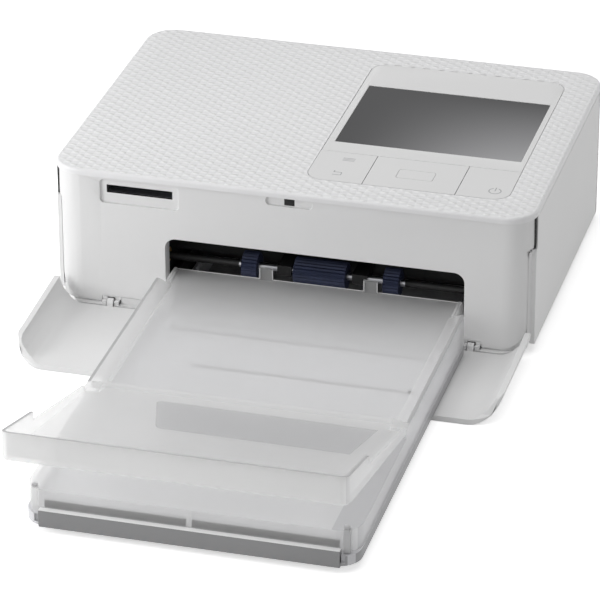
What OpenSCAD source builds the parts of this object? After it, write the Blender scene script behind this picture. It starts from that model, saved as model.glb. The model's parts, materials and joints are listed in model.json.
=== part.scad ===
// Compact photo printer with an open front door and a paper cassette.
// Millimetres, +Z up, the front faces -Y, the origin lies under the middle of the whole outline.

/* [Body] */
// Width over the side panels
body_w = 182.2; // [176:0.1:190]
// Depth of the top cover
body_d = 133; // [131:0.5:140]
// Height over the feet
body_h = 57.6; // [57:0.1:60]
// Plan radius of the cover's corners
corner_r = 11; // [8:0.5:13]
// Wall of the casing
wall = 2; // [1.6:0.1:2.2]
// Height of the cover's side band
band_h = 2.5; // [2.2:0.1:3]
// Skin of the cover over its hollow
skin = 1.9; // [1.6:0.1:2]
// Height of the casing's lower edge
shell_z = 3.2; // [3:0.1:3.6]
// Setback of the front shell behind the cover
front_set = 2.3; // [2:0.1:2.6]
// Depth where the side panels begin
step_y = 8.5; // [8:0.1:9]
// Drop from the top to the ledge over the side panels' front strip
ledge_drop = 15; // [14.2:0.1:16.6]
// Straight part of the rear cover's side walls
rear_straight = 0.2; // [0.1:0.05:0.8]
// Gap between casing pieces that move apart
seam = 0.3; // [0.2:0.05:0.4]
// Thickness of the bottom pan
pan_t = 1.6; // [1.4:0.1:1.8]
// Distance from the side to the bottom pan
pan_inset = 5.9; // [5.8:0.1:6.6]
// Height of the feet
foot_h = 0.8; // [0.6:0.1:1]
// Radius of a foot
foot_r = 6; // [4:0.5:7]

/* [Front] */
// Left edge of the cassette mouth
mouth_x0 = -47.5; // [-48:0.1:-47.2]
// Right edge of the cassette mouth
mouth_x1 = 65.9; // [65.6:0.1:66.4]
// Top of the cassette mouth
mouth_top = 32; // [31:0.1:34]
// Radius of the mouth's upper corners
mouth_r = 4; // [2:0.1:6]
// Width of the memory card slot
card_w = 25.1; // [24.5:0.1:25.6]
// Middle of the memory card slot
card_x = -57.2; // [-58:0.1:-56]
// Drop from the top to the memory card slot's middle
card_drop = 8.1; // [7.8:0.1:8.6]
// Opening height of the memory card slot
card_gap = 3; // [2.6:0.1:3.2]
// Width of the recess round the card slot
recess_w = 30.1; // [28:0.1:31]
// Height of the recess round the card slot
recess_h = 9.4; // [8:0.1:9.8]
// Length of the catch recess over the mouth
catch_w = 17.5; // [14:0.1:20]
// Height of the catch recess
catch_h = 3.5; // [3:0.1:4]
// Drop from the top to the catch recess's middle
catch_drop = 5.1; // [4.8:0.1:5.6]
// Side of the catch hole
catch_hole = 3; // [2:0.1:3.2]

/* [Front door] */
// Thickness of the front door
door_t = 2.2; // [2:0.1:2.2]
// Reach of the open door in front of the body
door_len = 50.4; // [46:0.1:52]
// Height of the door's side flanges
flange_h = 11.3; // [9:0.1:11.4]
// Height of the side flanges at the door's free end
flange_tip = 9.4; // [8:0.1:10]
// Length of the side flanges' top edge
flange_len = 42; // [38:0.5:43]
// Radius between the door and its flanges
flange_r = 11.4; // [11.4:0.1:12]
// Plan radius of the door's free corners
door_corner = 12; // [9:0.5:13]
// Height and depth of the door's pivot
door_pivot = 2.4; // [2.3:0.1:2.5]
// Distance of the door's ears from the middle
ear_x = 69; // [68.8:0.1:70]
// Width of a door ear
ear_w = 2.4; // [2:0.1:2.8]
// Radius of the door's pins
door_pin_r = 1; // [0.8:0.05:1.1]

/* [Ink door] */
// Distance of the ink door's pivot from the side
ink_inset = 3.9; // [3.8:0.05:4.1]
// Height of the ink door's pivot
ink_z = 4.6; // [4.5:0.05:4.8]
// Radius of the ink door's pins
ink_pin_r = 0.9; // [0.8:0.05:0.95]
// Distances of the ink door's two hinges from the front and the rear
ink_hinge_ends = [23.5, 29.5];
// Width of an ink door knuckle
knuckle_w = 7; // [6:0.1:8]

/* [Control panel] */
// Left edge of the panel
panel_x0 = 2.4; // [2:0.1:3]
// Right edge of the panel
panel_x1 = 78.6; // [78:0.1:79]
// Front edge of the panel
panel_y0 = 14.2; // [14:0.1:15]
// Distance from the panel's rear edge to the cover's
panel_margin = 12.5; // [12:0.1:15]
// Corner radius of the panel
panel_r = 6.5; // [5:0.1:7]
// Depth of the row of keys
key_row = 24.7; // [22:0.1:26]
// Left seam between the keys
key_x1 = 24.2; // [22:0.1:26]
// Right seam between the keys
key_x2 = 59; // [57:0.1:61]
// Width of the middle key
ok_w = 13.6; // [12:0.1:15]
// Depth of the middle key
ok_d = 7.1; // [6:0.1:8]
// Travel of a key
key_travel = 0.35; // [0.2:0.05:0.4]
// Thickness of a key plate
key_t = 1.4; // [1.2:0.1:1.5]
// Radius of a key's stem
stem_r = 2; // [1.5:0.1:2.2]
// Left edge of the display
lcd_x0 = 5.4; // [5:0.1:6]
// Right edge of the display
lcd_x1 = 76.4; // [75:0.1:77]
// Front edge of the display
lcd_y0 = 47.5; // [46:0.1:49]
// Rear edge of the display
lcd_y1 = 99.8; // [98:0.1:102]
// Thickness of the display window
window_t = 1; // [0.8:0.1:1.2]

/* [Cassette] */
// Middle of the cassette
cas_x = 9.2; // [9.1:0.05:9.3]
// Width of the cassette's wide part
cas_w = 116.8; // [116:0.1:117]
// Width of the cassette's narrow part
narrow_w = 109.6; // [109:0.1:110]
// Reach of the cassette's base in front of the body
cas_front = 159.5; // [156:0.1:161]
// Depth of the cassette's rear end inside the body
cas_rear = 42; // [40:0.5:42.5]
// Depth where the wide part ends, in front of the body
wide_end = 4; // [3.5:0.1:6]
// Underside of the cassette
cas_z = 2.6; // [2.55:0.05:2.8]
// Floor and walls of the cassette's base
cas_t = 1.4; // [1.2:0.1:1.6]
// Top of the base's walls
base_top = 6.4; // [6:0.1:6.6]
// Top of the front bar
bar_top = 8.4; // [8:0.1:9]
// Width of the front bar
bar_w = 105.1; // [100:0.1:106]
// Thickness of the front bar
bar_t = 2.4; // [2:0.1:3]
// Wall of the translucent lids
lid_t = 1.2; // [1:0.1:1.3]
// Top of the trough's side walls
trough_top = 18.8; // [18.4:0.1:19]
// Trough floor at its rear edge
trough_rear_z = 16.6; // [16:0.1:16.8]
// Trough floor at its front edge
trough_front_z = 14; // [13.6:0.1:14.2]
// Distance of the trough's front edge from the body
trough_front = 84; // [83.5:0.1:84.5]
// Depth of the inner lid's rear edge inside the body
lid_rear = 9.3; // [8.5:0.1:9.4]
// Top of the inner lid's front part
deck_z = 15; // [14.4:0.1:15.4]
// Width of the slope beside the trough
slope_w = 4.6; // [3.5:0.1:5]
// Width of a stop tab
tab_w = 5.3; // [4.5:0.1:5.6]
// Distance of the stop tabs from the cassette's middle
tab_x = 19.9; // [19.5:0.1:20.2]
// Top of the stop tabs
tab_top = 21.3; // [20:0.1:22]
// Plan radius of the cassette's front corners
cas_r = 8; // [5:0.5:9]

/* [Outer lid] */
// Reach of the open outer lid in front of the body
lid_reach = 171.8; // [165:0.1:175]
// Distance of the outer lid's pivot from the body
pivot_y = 84.6; // [84.4:0.05:84.8]
// Height of the outer lid's pivot
pivot_z = 16.5; // [16.4:0.05:16.6]
// Slope of the open outer lid
lid_tilt = 11.6; // [11.4:0.1:12]
// Height of the lid's underside below its pivot line
lid_drop = 1; // [0.9:0.05:1.1]
// Plan radius of the outer lid's front corners
lid_r = 3; // [2:0.1:6]
// Distance from the pivot where the lid gets its full width
root_len = 7.8; // [7.7:0.05:8.5]
// Height of the rim at the root
rim_root = 3; // [2.6:0.1:3.2]
// Height of the rim where the fence begins
rim_end = 6.2; // [5:0.1:6.6]
// Distance of the fence from the body
fence_y = 144; // [138:0.5:150]
// Height of the fence where it begins
fence_start = 9.6; // [8:0.1:10]
// Height of the lip
lip_h = 11; // [9:0.1:12]
// Radius of the lid's pins
lid_pin_r = 1.2; // [1:0.05:1.25]

/* [Paper drive] */
// Depth and height of the feed shaft
feed_at = [15, 18.8];
// Radius of the feed rollers
feed_r = 5.2; // [4.8:0.1:5.2]
// Radius of the feed shaft
feed_shaft_r = 1.4; // [1.2:0.1:1.6]
// Start and end of each feed roller along the shaft
feed_spans = [[-20.8, -14.9], [-0.9, 18.9], [33.3, 39.2]];
// Start and end of each holder along the shaft
holder_spans = [[-7.4, -2.1], [21.2, 26.7]];
// Number of ribs on a feed roller
roller_ribs = 24; // [18:1:30]
// Depth and height of the capstan
capstan_at = [55, 20];
// Radius of the capstan
capstan_r = 4; // [3.8:0.05:4]
// Radius of the pinch roller
pinch_r = 3.3; // [3:0.05:3.3]
// Depth of the platen's axis
platen_y = 75; // [74.5:0.1:75.5]
// Radius of the platen
platen_r = 6.5; // [6:0.1:6.8]
// Gap that the paper needs between two rollers
paper_gap = 0.3; // [0.28:0.01:0.32]
// Radius of the steel journals
journal_r = 2; // [1.8:0.05:2.1]
// Radial clearance of a shaft in its bush
running = 0.05; // [0.03:0.01:0.08]
// Gear module
gear_m = 0.8; // [0.78:0.01:0.81]
// Teeth of the feed and capstan gears
teeth_big = 24;
// Teeth of the idler
teeth_idler = 26;
// Teeth of a motor pinion
teeth_pinion = 12;
// Backlash added to each pair's centre distance
backlash = 0.15; // [0.12:0.01:0.2]
// Width of a gear
gear_w = 3; // [2.5:0.1:3.2]

/* [Ink and head] */
// Depth and height of the supply spool
supply_at = [56, 39];
// Depth and height of the take-up spool
takeup_at = [94, 39];
// Radius of the wound ink sheet
roll_r = 6.2; // [5.5:0.05:6.2]
// Width of the ink sheet
sheet_w = 100; // [98:0.5:101]
// Radius of a spool's core
core_r = 3.5; // [3:0.1:4]
// Height of the print head's face over the platen when lifted
head_lift = 3.4; // [3.3:0.05:3.6]
// Depth and height of the head's pivot
head_pivot = [112, 46];
// Width of the head
head_w = 104; // [100:0.5:105]
// Radius of the head's pivot shaft
head_shaft_r = 1.5; // [1.3:0.05:1.6]

/* [Hidden] */
$fn = 48;

eps = 0.01;
big = 400;
body_front = (lid_reach - body_d) / 2;
half_w = body_w / 2;
pan_half = half_w - pan_inset;
ink_x = half_w - ink_inset;
cover_z = body_h - band_h;
ledge_z = body_h - ledge_drop;
card_z = body_h - card_drop;
catch_z = body_h - catch_drop;
pan_top = foot_h + pan_t;
pan_front = 0.6;
ear_rear = door_pivot * 2 + 0.4;
lower_half = half_w - wall - seam;
inner_y = front_set + wall;
rear_y = body_d - corner_r - rear_straight;
ink_hinge_y = [ink_hinge_ends[0], body_d - ink_hinge_ends[1]];
panel_y1 = body_d - panel_margin;
panel_top = cover_z - seam;
white = "gainsboro";
milky = [0.86, 0.87, 0.88, 0.6];
steel = "silver";
black = "dimgray";

// Outline helpers: an arc's points, and a rectangle with its own radius at each corner.
function arc(cx, cy, r, a0, a1, n = 8) =
    r < eps ? [[cx, cy]] : [for (i = [0:n])
        let(a = a0 + (a1 - a0) * i / n) [cx + r * cos(a), cy + r * sin(a)]];
function soft_rect(x0, x1, y0, y1, front_r, back_r) = concat(
    arc(x0 + front_r, y0 + front_r, front_r, 180, 270), arc(x1 - front_r, y0 + front_r, front_r, 270, 360),
    arc(x1 - back_r, y1 - back_r, back_r, 0, 90), arc(x0 + back_r, y1 - back_r, back_r, 90, 180));

module in_place() translate([0, body_front, 0]) children();
module block(x0, x1, y0, y1, z0, z1) translate([x0, y0, z0]) cube([x1 - x0, y1 - y0, z1 - z0]);
module plan(points, z0, z1) translate([0, 0, z0]) linear_extrude(z1 - z0) polygon(points);
module side(points, x0, x1) translate([x0, 0, 0]) rotate([90, 0, 90]) linear_extrude(x1 - x0) polygon(points);
module front(points, y0, y1) translate([0, y1, 0]) rotate([90, 0, 0]) linear_extrude(y1 - y0) polygon(points);
module rod(x0, x1, at, r) translate([x0, at[0], at[1]]) rotate([0, 90, 0]) cylinder(h = x1 - x0, r = r);
module rod_y(y0, y1, x, z, r) translate([x, y1, z]) rotate([90, 0, 0]) cylinder(h = y1 - y0, r = r);
module post(x, y, z0, z1, r) translate([x, y, z0]) cylinder(h = z1 - z0, r = r);

// Gears: straight-flanked teeth, and the phase that meshes gear b with gear a.
root_drop = 1.15;
tip_rise = 0.8;
tip_half = 0.12;
root_half = 0.27;
function gear_r(n) = gear_m * n / 2;
function gear_points(n, phase) = [for (i = [0:n - 1], k = [0:3]) let(
    pitch = 360 / n,
    half = (k == 0 || k == 3) ? root_half : tip_half,
    a = phase + pitch * (i + (k < 2 ? -half : half)),
    r = gear_r(n) + gear_m * ((k == 0 || k == 3) ? -root_drop : tip_rise)) [r * cos(a), r * sin(a)]];
function mesh_phase(na, phase_a, heading, nb) = heading + 180 + 180 / nb - (phase_a - heading) * na / nb;
function beside(at, heading, na, nb) =
    at + (gear_r(na) + gear_r(nb) + backlash) * [cos(heading), sin(heading)];
module gear(n, phase, at, x0, bore) difference() {
    translate([x0, at[0], at[1]]) rotate([90, 0, 90]) linear_extrude(gear_w) polygon(gear_points(n, phase));
    rod(x0 - 1, x0 + gear_w + 1, at, bore);
}

// Frame plates and the drive on the left
plate_t = 1;
left_x = -51;
right_x = 68;
box_x = -59;
gear_x = box_x + plate_t + 2;
plate_low = 41;
plate_high = 50;
plate_front = 8;
plate_rear = 120;
plate_step_y = 40;
plate_points = [[plate_front, pan_top], [plate_rear, pan_top], [plate_rear, plate_high],
    [plate_step_y + 5, plate_high], [plate_step_y - 4, plate_low], [plate_front, plate_low]];
bush_r = 3.2;
nip_z = capstan_at[1] + capstan_r;
pinch_at = [capstan_at[0], nip_z + paper_gap + pinch_r];
platen_at = [platen_y, nip_z - platen_r];
pinch_shaft_r = 1.2;

// The idler sits above the line from the feed gear to the capstan gear, at equal distances.
feed_gap = capstan_at - feed_at;
idler_dist = gear_r(teeth_big) + gear_r(teeth_idler) + backlash;
idler_heading = atan2(feed_gap[1], feed_gap[0]) + acos(norm(feed_gap) / 2 / idler_dist);
idler_at = beside(feed_at, idler_heading, teeth_big, teeth_idler);
to_idler = idler_at - capstan_at;
idler_back = atan2(to_idler[1], to_idler[0]);
idler_phase = mesh_phase(teeth_big, 0, idler_back, teeth_idler);
feed_phase = mesh_phase(teeth_idler, idler_phase, idler_heading + 180, teeth_big);
feed_motor_heading = 60;
feed_pinion_at = beside(capstan_at, feed_motor_heading, teeth_big, teeth_pinion);
feed_pinion_phase = mesh_phase(teeth_big, 0, feed_motor_heading, teeth_pinion);
ribbon_motor_heading = -30;
ribbon_pinion_at = beside(takeup_at, ribbon_motor_heading, teeth_big, teeth_pinion);
ribbon_pinion_phase = mesh_phase(teeth_big, 0, ribbon_motor_heading, teeth_pinion);
motor_shaft_r = 1;
axle_r = 1.5;

// Casing
pan_points = soft_rect(-pan_half, pan_half, pan_front, body_d - wall - seam * 2, 7, 7);
screw_x = half_w - 13.1;
screw_front = 7;
screw_rear = body_d - 6;
screw_r = 1.2;
boss_r = 3.2;
boss_top = 20;
foot_x = half_w - 17.1;
foot_front = 22;
foot_rear = body_d - 15;
peg_r = 1.5;
bracket_t = 1.8;
side_gap = 0.3;
bracket_front = 0.8;
bracket_reach = ear_w / 2 + side_gap + bracket_t;
ink_bracket_w = 3.2;
ink_bracket_r = 1.6;
ink_bracket_step = (knuckle_w + ink_bracket_w + side_gap * 2) / 2;
rim_h = 5.6;
rim_t = 1.4;
rim_ends = [16, 15];
rim_step = 5;

module each_screw() for (x = [-screw_x, screw_x], y = [screw_front, screw_rear])
    translate([x, y, 0]) children();
module each_foot() for (x = [-foot_x, foot_x], y = [foot_front, foot_rear])
    translate([x, y, 0]) children();

module lower_case() in_place() color(black) difference() {
    union() {
        plan(pan_points, foot_h, pan_top);
        for (x = [-pan_half, pan_half - rim_step])
            block(x, x + rim_t, rim_ends[0], body_d - rim_ends[1], pan_top, pan_top + rim_h);
        block(-screw_x + 8, screw_x - 8, screw_rear + 1, screw_rear + 1 + rim_t, pan_top, pan_top + rim_h);
        for (x = [-ear_x, ear_x], s = [-1, 1])
            translate([x + s * (ear_w / 2 + side_gap + bracket_t / 2), 0, 0])
                block(-bracket_t / 2, bracket_t / 2, bracket_front, ear_rear + 0.8, foot_h, door_pivot + 1.5);
        for (y = ink_hinge_y, s = [-1, 1]) translate([0, y + s * ink_bracket_step, 0]) {
            block(pan_half - rim_step, pan_half, -ink_bracket_w / 2, ink_bracket_w / 2,
                pan_top, ink_z + ink_bracket_r);
            block(pan_half - 1, ink_x, -ink_bracket_w / 2, ink_bracket_w / 2,
                ink_z - ink_bracket_r, ink_z + ink_bracket_r);
            rod_y(-ink_bracket_w / 2, ink_bracket_w / 2, ink_x, ink_z, ink_bracket_r);
        }
    }
    each_screw() { post(0, 0, foot_h - 1, foot_h + 0.8, screw_r * 2 + 0.1); post(0, 0, 0, 4, screw_r + 0.2); }
    each_foot() post(0, 0, 0, 4, peg_r);
    for (x = [-ear_x, ear_x]) {
        block(x - ear_w / 2 - side_gap, x + ear_w / 2 + side_gap, 0, ear_rear, 0, pan_top + 1);
        rod(x - bracket_reach, x + bracket_reach, [door_pivot, door_pivot], door_pin_r);
    }
    rod_y(0, body_d, ink_x, ink_z, ink_pin_r);
}

module rubber_feet() in_place() color("gray") each_foot() {
    post(0, 0, 0, foot_h, foot_r);
    post(0, 0, foot_h, pan_top, peg_r);
}

module case_screws() in_place() color(steel) each_screw() {
    post(0, 0, foot_h, foot_h + 0.8, screw_r * 2);
    post(0, 0, foot_h + 0.8, boss_top - 4, screw_r);
}

// Front shell: full width above the ledge, recessed for the door's flanges below it.
front_back = front_set + corner_r + 0.7;
side_rise = 4.4;
upper_back = 11.8;
notch_top = 5.2;
notch_half = ear_x + bracket_reach + seam;
shelf_t = 1.6;
front_low = 3;
low_r = 9.5;
recess_t = 0.8;
recess_drop = 0.9;
nick = 0.4;
module front_shell() in_place() color(white) difference() {
    union() {
        intersection() {
            plan(soft_rect(-half_w, half_w, front_set, front_back, corner_r, 0),
                front_low, ledge_z + shelf_t / 2);
            front(soft_rect(-lower_half, lower_half, front_low, ledge_z + shelf_t, low_r, 0), 0, front_back);
        }
        plan(soft_rect(-half_w, half_w, front_set, front_back, corner_r, 0), ledge_z, cover_z);
    }
    block(-half_w - 1, half_w + 1, upper_back, front_back + 1, ledge_z + side_rise, cover_z + 1);
    difference() {
        intersection() {
            plan(soft_rect(-half_w + wall, half_w - wall, inner_y, front_back + 1, corner_r - wall, 0),
                front_low - 1, ledge_z + shelf_t);
            union() {
                front(soft_rect(-lower_half + wall, lower_half - wall, front_low + wall, big,
                    low_r - wall, 0), 0, big);
                block(-lower_half + low_r, lower_half - low_r, 0, big, 0, front_low + wall + 1);
            }
        }
        for (x = [-screw_x, screw_x]) post(x, screw_front, 0, boss_top, boss_r);
    }
    plan(soft_rect(-half_w + wall, half_w - wall, inner_y, front_back + 1, corner_r - wall, 0),
        ledge_z + shelf_t, cover_z + 1);
    for (x = [-half_w - 1, lower_half - nick]) side([[step_y - 1.5, ledge_z - nick],
        [step_y + 0.5, ledge_z + 0.3], [upper_back - 0.8, ledge_z + 2], [upper_back, ledge_z + side_rise],
        [front_back + 1, ledge_z + side_rise], [front_back + 1, ledge_z - nick]],
        x, x + half_w + 1 - lower_half + nick);
    front(concat([[mouth_x0, 0], [mouth_x1, 0]], arc(mouth_x1 - mouth_r, mouth_top - mouth_r, mouth_r, 0, 90),
        arc(mouth_x0 + mouth_r, mouth_top - mouth_r, mouth_r, 90, 180)), 0, front_back + 1);
    block(-notch_half, notch_half, 0, front_back + 1, 0, notch_top);
    front(soft_rect(card_x - recess_w / 2, card_x + recess_w / 2, card_z - recess_h / 2 - recess_drop,
        card_z + recess_h / 2 - recess_drop, 1.5, 1.5), 0, front_set + recess_t);
    block(card_x - card_w / 2, card_x + card_w / 2, 0, inner_y + 1,
        card_z - card_gap / 2, card_z + card_gap / 2);
    front(soft_rect(-catch_w / 2, catch_w / 2, catch_z - catch_h / 2, catch_z + catch_h / 2,
        catch_h / 2 - 0.2, catch_h / 2 - 0.2), 0, front_set + recess_t);
    block(-catch_hole / 2, catch_hole / 2, 0, inner_y + 1,
        catch_z - catch_hole / 2, catch_z + catch_hole / 2);
    for (x = [-screw_x, screw_x]) post(x, screw_front, 0, boss_top - 3, screw_r);
}

module latch_insert() in_place() color("black")
    block(-catch_w / 2, catch_w / 2, inner_y, inner_y + 2, catch_z - 3, cover_z);

module top_cover() in_place() color(white) difference() {
    plan(soft_rect(-half_w, half_w, 0, body_d, corner_r, corner_r), cover_z, body_h);
    plan(soft_rect(-half_w + 3, half_w - 3, 4.5, body_d - 3, corner_r - 3, corner_r - 3),
        cover_z - 1, body_h - skin);
    plan(soft_rect(panel_x0, panel_x1, panel_y0, panel_y1, panel_r, panel_r), cover_z - 1, body_h + 1);
}

// Side panel outline, with its front top corner cut away over the ledge
panel_back = rear_y - seam;
side_points = [[step_y, shell_z + 0.8], [step_y + 0.8, shell_z], [panel_back, shell_z],
    [panel_back, panel_top], [upper_back + 1, panel_top],
    [upper_back + 1, ledge_z + side_rise + 0.2], [upper_back, ledge_z + 1.8],
    [step_y + 1.4, ledge_z - 0.6], [step_y, ledge_z - 1]];

module left_shell() in_place() color(white) side(side_points, -half_w, -half_w + wall);

module ink_door() in_place() color(white) difference() {
    union() {
        side(side_points, half_w - wall, half_w);
        for (y = ink_hinge_y) rod_y(y - knuckle_w / 2, y + knuckle_w / 2, ink_x, ink_z, 2.1);
    }
    rod_y(0, body_d, ink_x, ink_z, ink_pin_r + running);
}

module ink_door_pins() in_place() color(steel) for (y = ink_hinge_y)
    rod_y(y - knuckle_w / 2 - ink_bracket_w - side_gap, y + knuckle_w / 2 + ink_bracket_w + side_gap,
        ink_x, ink_z, ink_pin_r);

slot_x0 = cas_x - 52.5;
slot_x1 = cas_x + 52.5;
slot_z0 = 21;
slot_z1 = 27;
jack_x = -half_w + 21.1;
jack_z = 16;
jack_r = 4;
usb_x = half_w - 27.1;
usb_z = 16;
module rear_cover() in_place() color(white) difference() {
    union() {
        difference() {
            plan(soft_rect(-half_w, half_w, rear_y, body_d, 0, corner_r), shell_z, cover_z);
            plan(soft_rect(-half_w + wall, half_w - wall, rear_y - 1, body_d - wall, 0, corner_r - wall),
                shell_z - 1, cover_z + 1);
        }
        for (x = [-screw_x, screw_x]) difference() {
            post(x, screw_rear, pan_top, boss_top, boss_r);
            block(x - 5, x + 5, screw_rear - 5, body_d, 0, pan_top);
        }
        for (x = [-screw_x, screw_x])
            block(x - 1, x + 1, screw_rear + 2, body_d - wall / 2, shell_z, boss_top);
    }
    block(slot_x0, slot_x1, rear_y, body_d + 1, slot_z0, slot_z1);
    rod_y(rear_y, body_d + 1, jack_x, jack_z, jack_r);
    block(usb_x - 4.7, usb_x + 4.7, body_d - wall - 1, body_d + 1, usb_z - 1.8, usb_z + 1.8);
    for (i = [0:9]) block(-28 + i * 8, -24 + i * 8, body_d - wall - 1, body_d + 1, 38, 46);
    for (x = [-screw_x, screw_x]) post(x, screw_rear, 0, boss_top - 3, screw_r);
}

module dc_jack() in_place() color("black") difference() {
    union() {
        rod_y(body_d - 1, body_d - 0.2, jack_x, jack_z, jack_r);
        block(jack_x - 4.5, jack_x + 4.5, body_d - wall - 10, body_d - wall, jack_z - 5, jack_z + 5);
        rod_y(body_d - wall, body_d - 1, jack_x, jack_z, jack_r);
    }
    difference() {
        rod_y(body_d - 9, body_d + 1, jack_x, jack_z, 2.8);
        rod_y(body_d - 9, body_d - 2, jack_x, jack_z, 0.8);
    }
}

module usb_port() in_place() color(steel) difference() {
    block(usb_x - 4.5, usb_x + 4.5, body_d - wall - 7, body_d - 0.4, usb_z - 1.65, usb_z + 1.65);
    block(usb_x - 4.15, usb_x + 4.15, body_d - wall - 5.5, body_d + 1, usb_z - 1.25, usb_z + 1.25);
}

card_len = 25;
module card_reader() in_place() color(steel) difference() {
    block(card_x - card_w / 2 - 1.3, card_x + card_w / 2 + 1.3, inner_y, inner_y + card_len + 3.7,
        card_z - card_gap, card_z + card_gap);
    block(card_x - card_w / 2, card_x + card_w / 2, inner_y - 1, inner_y + card_len - 0.3,
        card_z - card_gap / 2, card_z + card_gap / 2);
}

// Front door, lying open: a plate with curved flanges and rounded free corners.
door_at = [door_pivot, door_pivot];
door_gap = 0.4;
flange_rear = 2.2;
tip_y = -flange_len;
door_side = [[-door_len, 0], [0, 0], [0, door_t], [flange_rear, door_t * 2], [flange_rear, flange_h],
    [tip_y * 0.8, flange_tip + 0.2], [tip_y, flange_tip], [tip_y - 1.9, flange_tip - 0.8],
    [tip_y - 3.1, flange_tip - 2.4], [tip_y - 3.7, flange_tip - 4.4], [tip_y - 5, door_t + 1],
    [-door_len, door_t]];
module cassette_door() in_place() color(white) difference() {
    union() {
        intersection() {
            front(concat(arc(-half_w + flange_r, flange_r, flange_r, 180, 270),
                arc(half_w - flange_r, flange_r, flange_r, 270, 360),
                arc(half_w - flange_r, flange_r, flange_r - door_t, 360, 270),
                arc(-half_w + flange_r, flange_r, flange_r - door_t, 270, 180)), -door_len, flange_rear);
            side(door_side, -half_w, half_w);
            plan(soft_rect(-half_w, half_w, -door_len, step_y, door_corner, 0), 0, flange_h);
        }
        for (x = [-ear_x, ear_x]) {
            rod(x - ear_w / 2, x + ear_w / 2, door_at, door_pivot);
            block(x - ear_w / 2, x + ear_w / 2, -2, door_pivot, 0, door_t);
        }
    }
    rod(-big, big, door_at, door_pin_r + running);
    plan(soft_rect(-half_w - door_gap, half_w + door_gap, front_set - door_gap, big, corner_r + door_gap, 0),
        door_t + 0.5, flange_h + 1);
}
module cassette_door_pins() in_place() color(steel) for (x = [-ear_x, ear_x])
    rod(x - ear_w / 2 - side_gap - bracket_t, x + ear_w / 2 + side_gap + bracket_t, door_at, door_pin_r);

// Control panel
fit = 0.15;
key_low = body_h - key_t;
flange_top = key_low - key_travel - 0.1;
flange_low = flange_top - 1;
key_row_end = panel_y0 + key_row;
key_mid_y = panel_y0 + key_row / 2;
ok_x = (key_x1 + key_x2) / 2;
board_z = body_h - 6.4;
board_t = 1.2;
stem_low = board_z + board_t + 1.6;
menu_x = (panel_x0 + key_x1) / 2;
power_x = (key_x2 + panel_x1) / 2;
nav_stem = 12;
stem_spots = [[menu_x, key_mid_y], [ok_x - nav_stem, key_mid_y], [ok_x + nav_stem, key_mid_y],
    [ok_x, key_mid_y], [power_x, key_mid_y]];
window_low = body_h - 0.2 - window_t;
cable_w = 20;
cable_t = 0.15;
panel_edge = soft_rect(panel_x0 + fit, panel_x1 - fit, panel_y0 + fit, panel_y1 - fit,
    panel_r - fit, panel_r - fit);

module control_panel() in_place() color(white) difference() {
    union() {
        difference() {
            plan(panel_edge, flange_low, body_h);
            block(panel_x0 - 1, panel_x1 + 1, panel_y0 - 1, key_row_end + fit, flange_top, body_h + 1);
        }
        plan(soft_rect(panel_x0 - 1.6, panel_x1 + 1.6, panel_y0 - 1.6, panel_y1 + 1.6, panel_r, panel_r),
            flange_low, body_h - skin);
        for (x = [panel_x0 + 3.5, panel_x1 - 3.5], y = [panel_y0 + 4, panel_y1 - 12])
            post(x, y, board_z + board_t, flange_low, stem_r);
    }
    block(panel_x0 + 3, panel_x1 - 3, panel_y0 + 3, key_row_end, flange_top, body_h);
    for (s = stem_spots) post(s[0], s[1], 0, body_h, stem_r + 0.4);
    block(lcd_x0, lcd_x1, lcd_y0, lcd_y1, window_low, body_h + 1);
    block(lcd_x0 + 2, lcd_x1 - 2, lcd_y0 + 2, lcd_y1 - 2, 0, body_h);
}
module display_window() in_place() color("slategray")
    block(lcd_x0 + fit, lcd_x1 - fit, lcd_y0 + fit, lcd_y1 - fit, window_low, window_low + window_t);
module display_module() in_place() color("black")
    block(lcd_x0 + 2.2, lcd_x1 - 2.2, lcd_y0 + 2.2, lcd_y1 - 2.2, window_low - 2.6, window_low);
module display_cable() in_place() color("orange") union() {
    block(ok_x - cable_w / 2, ok_x + cable_w / 2, lcd_y1 - 2.2, lcd_y1 - 2.2 + cable_t,
        board_z + board_t, window_low - 1);
    block(ok_x - cable_w / 2, ok_x + cable_w / 2, lcd_y1 - 2.2, lcd_y1 + 4,
        board_z + board_t, board_z + board_t + cable_t);
}
module control_board() in_place() color("darkgreen") {
    block(panel_x0 + 1, panel_x1 - 1, panel_y0 + 2, panel_y1 - 10, board_z, board_z + board_t);
    for (s = stem_spots) translate([s[0], s[1], 0])
        block(-2.2, 2.2, -2.2, 2.2, board_z + board_t, stem_low - key_travel - 0.1);
}

module key_plate(x0, x1) intersection() {
    plan(panel_edge, key_low, body_h);
    block(x0, x1, panel_y0, key_row_end - fit, key_low, body_h);
}
module key_stem(x) post(x, key_mid_y, stem_low, key_low, stem_r);
module menu_key() in_place() color(white) union() { key_plate(panel_x0, key_x1 - fit); key_stem(menu_x); }
module nav_key() in_place() color(white) union() {
    difference() {
        key_plate(key_x1 + fit, key_x2 - fit);
        plan(soft_rect(ok_x - ok_w / 2 - fit, ok_x + ok_w / 2 + fit, key_mid_y - ok_d / 2 - fit,
            key_mid_y + ok_d / 2 + fit, 1, 1), key_low - 1, body_h + 1);
    }
    key_stem(ok_x - nav_stem);
    key_stem(ok_x + nav_stem);
}
module ok_key() in_place() color(white) union() {
    plan(soft_rect(ok_x - ok_w / 2, ok_x + ok_w / 2, key_mid_y - ok_d / 2, key_mid_y + ok_d / 2, 1, 1),
        key_low, body_h);
    key_stem(ok_x);
}
module power_key() in_place() color(white) union() { key_plate(key_x2 + fit, panel_x1); key_stem(power_x); }

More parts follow.
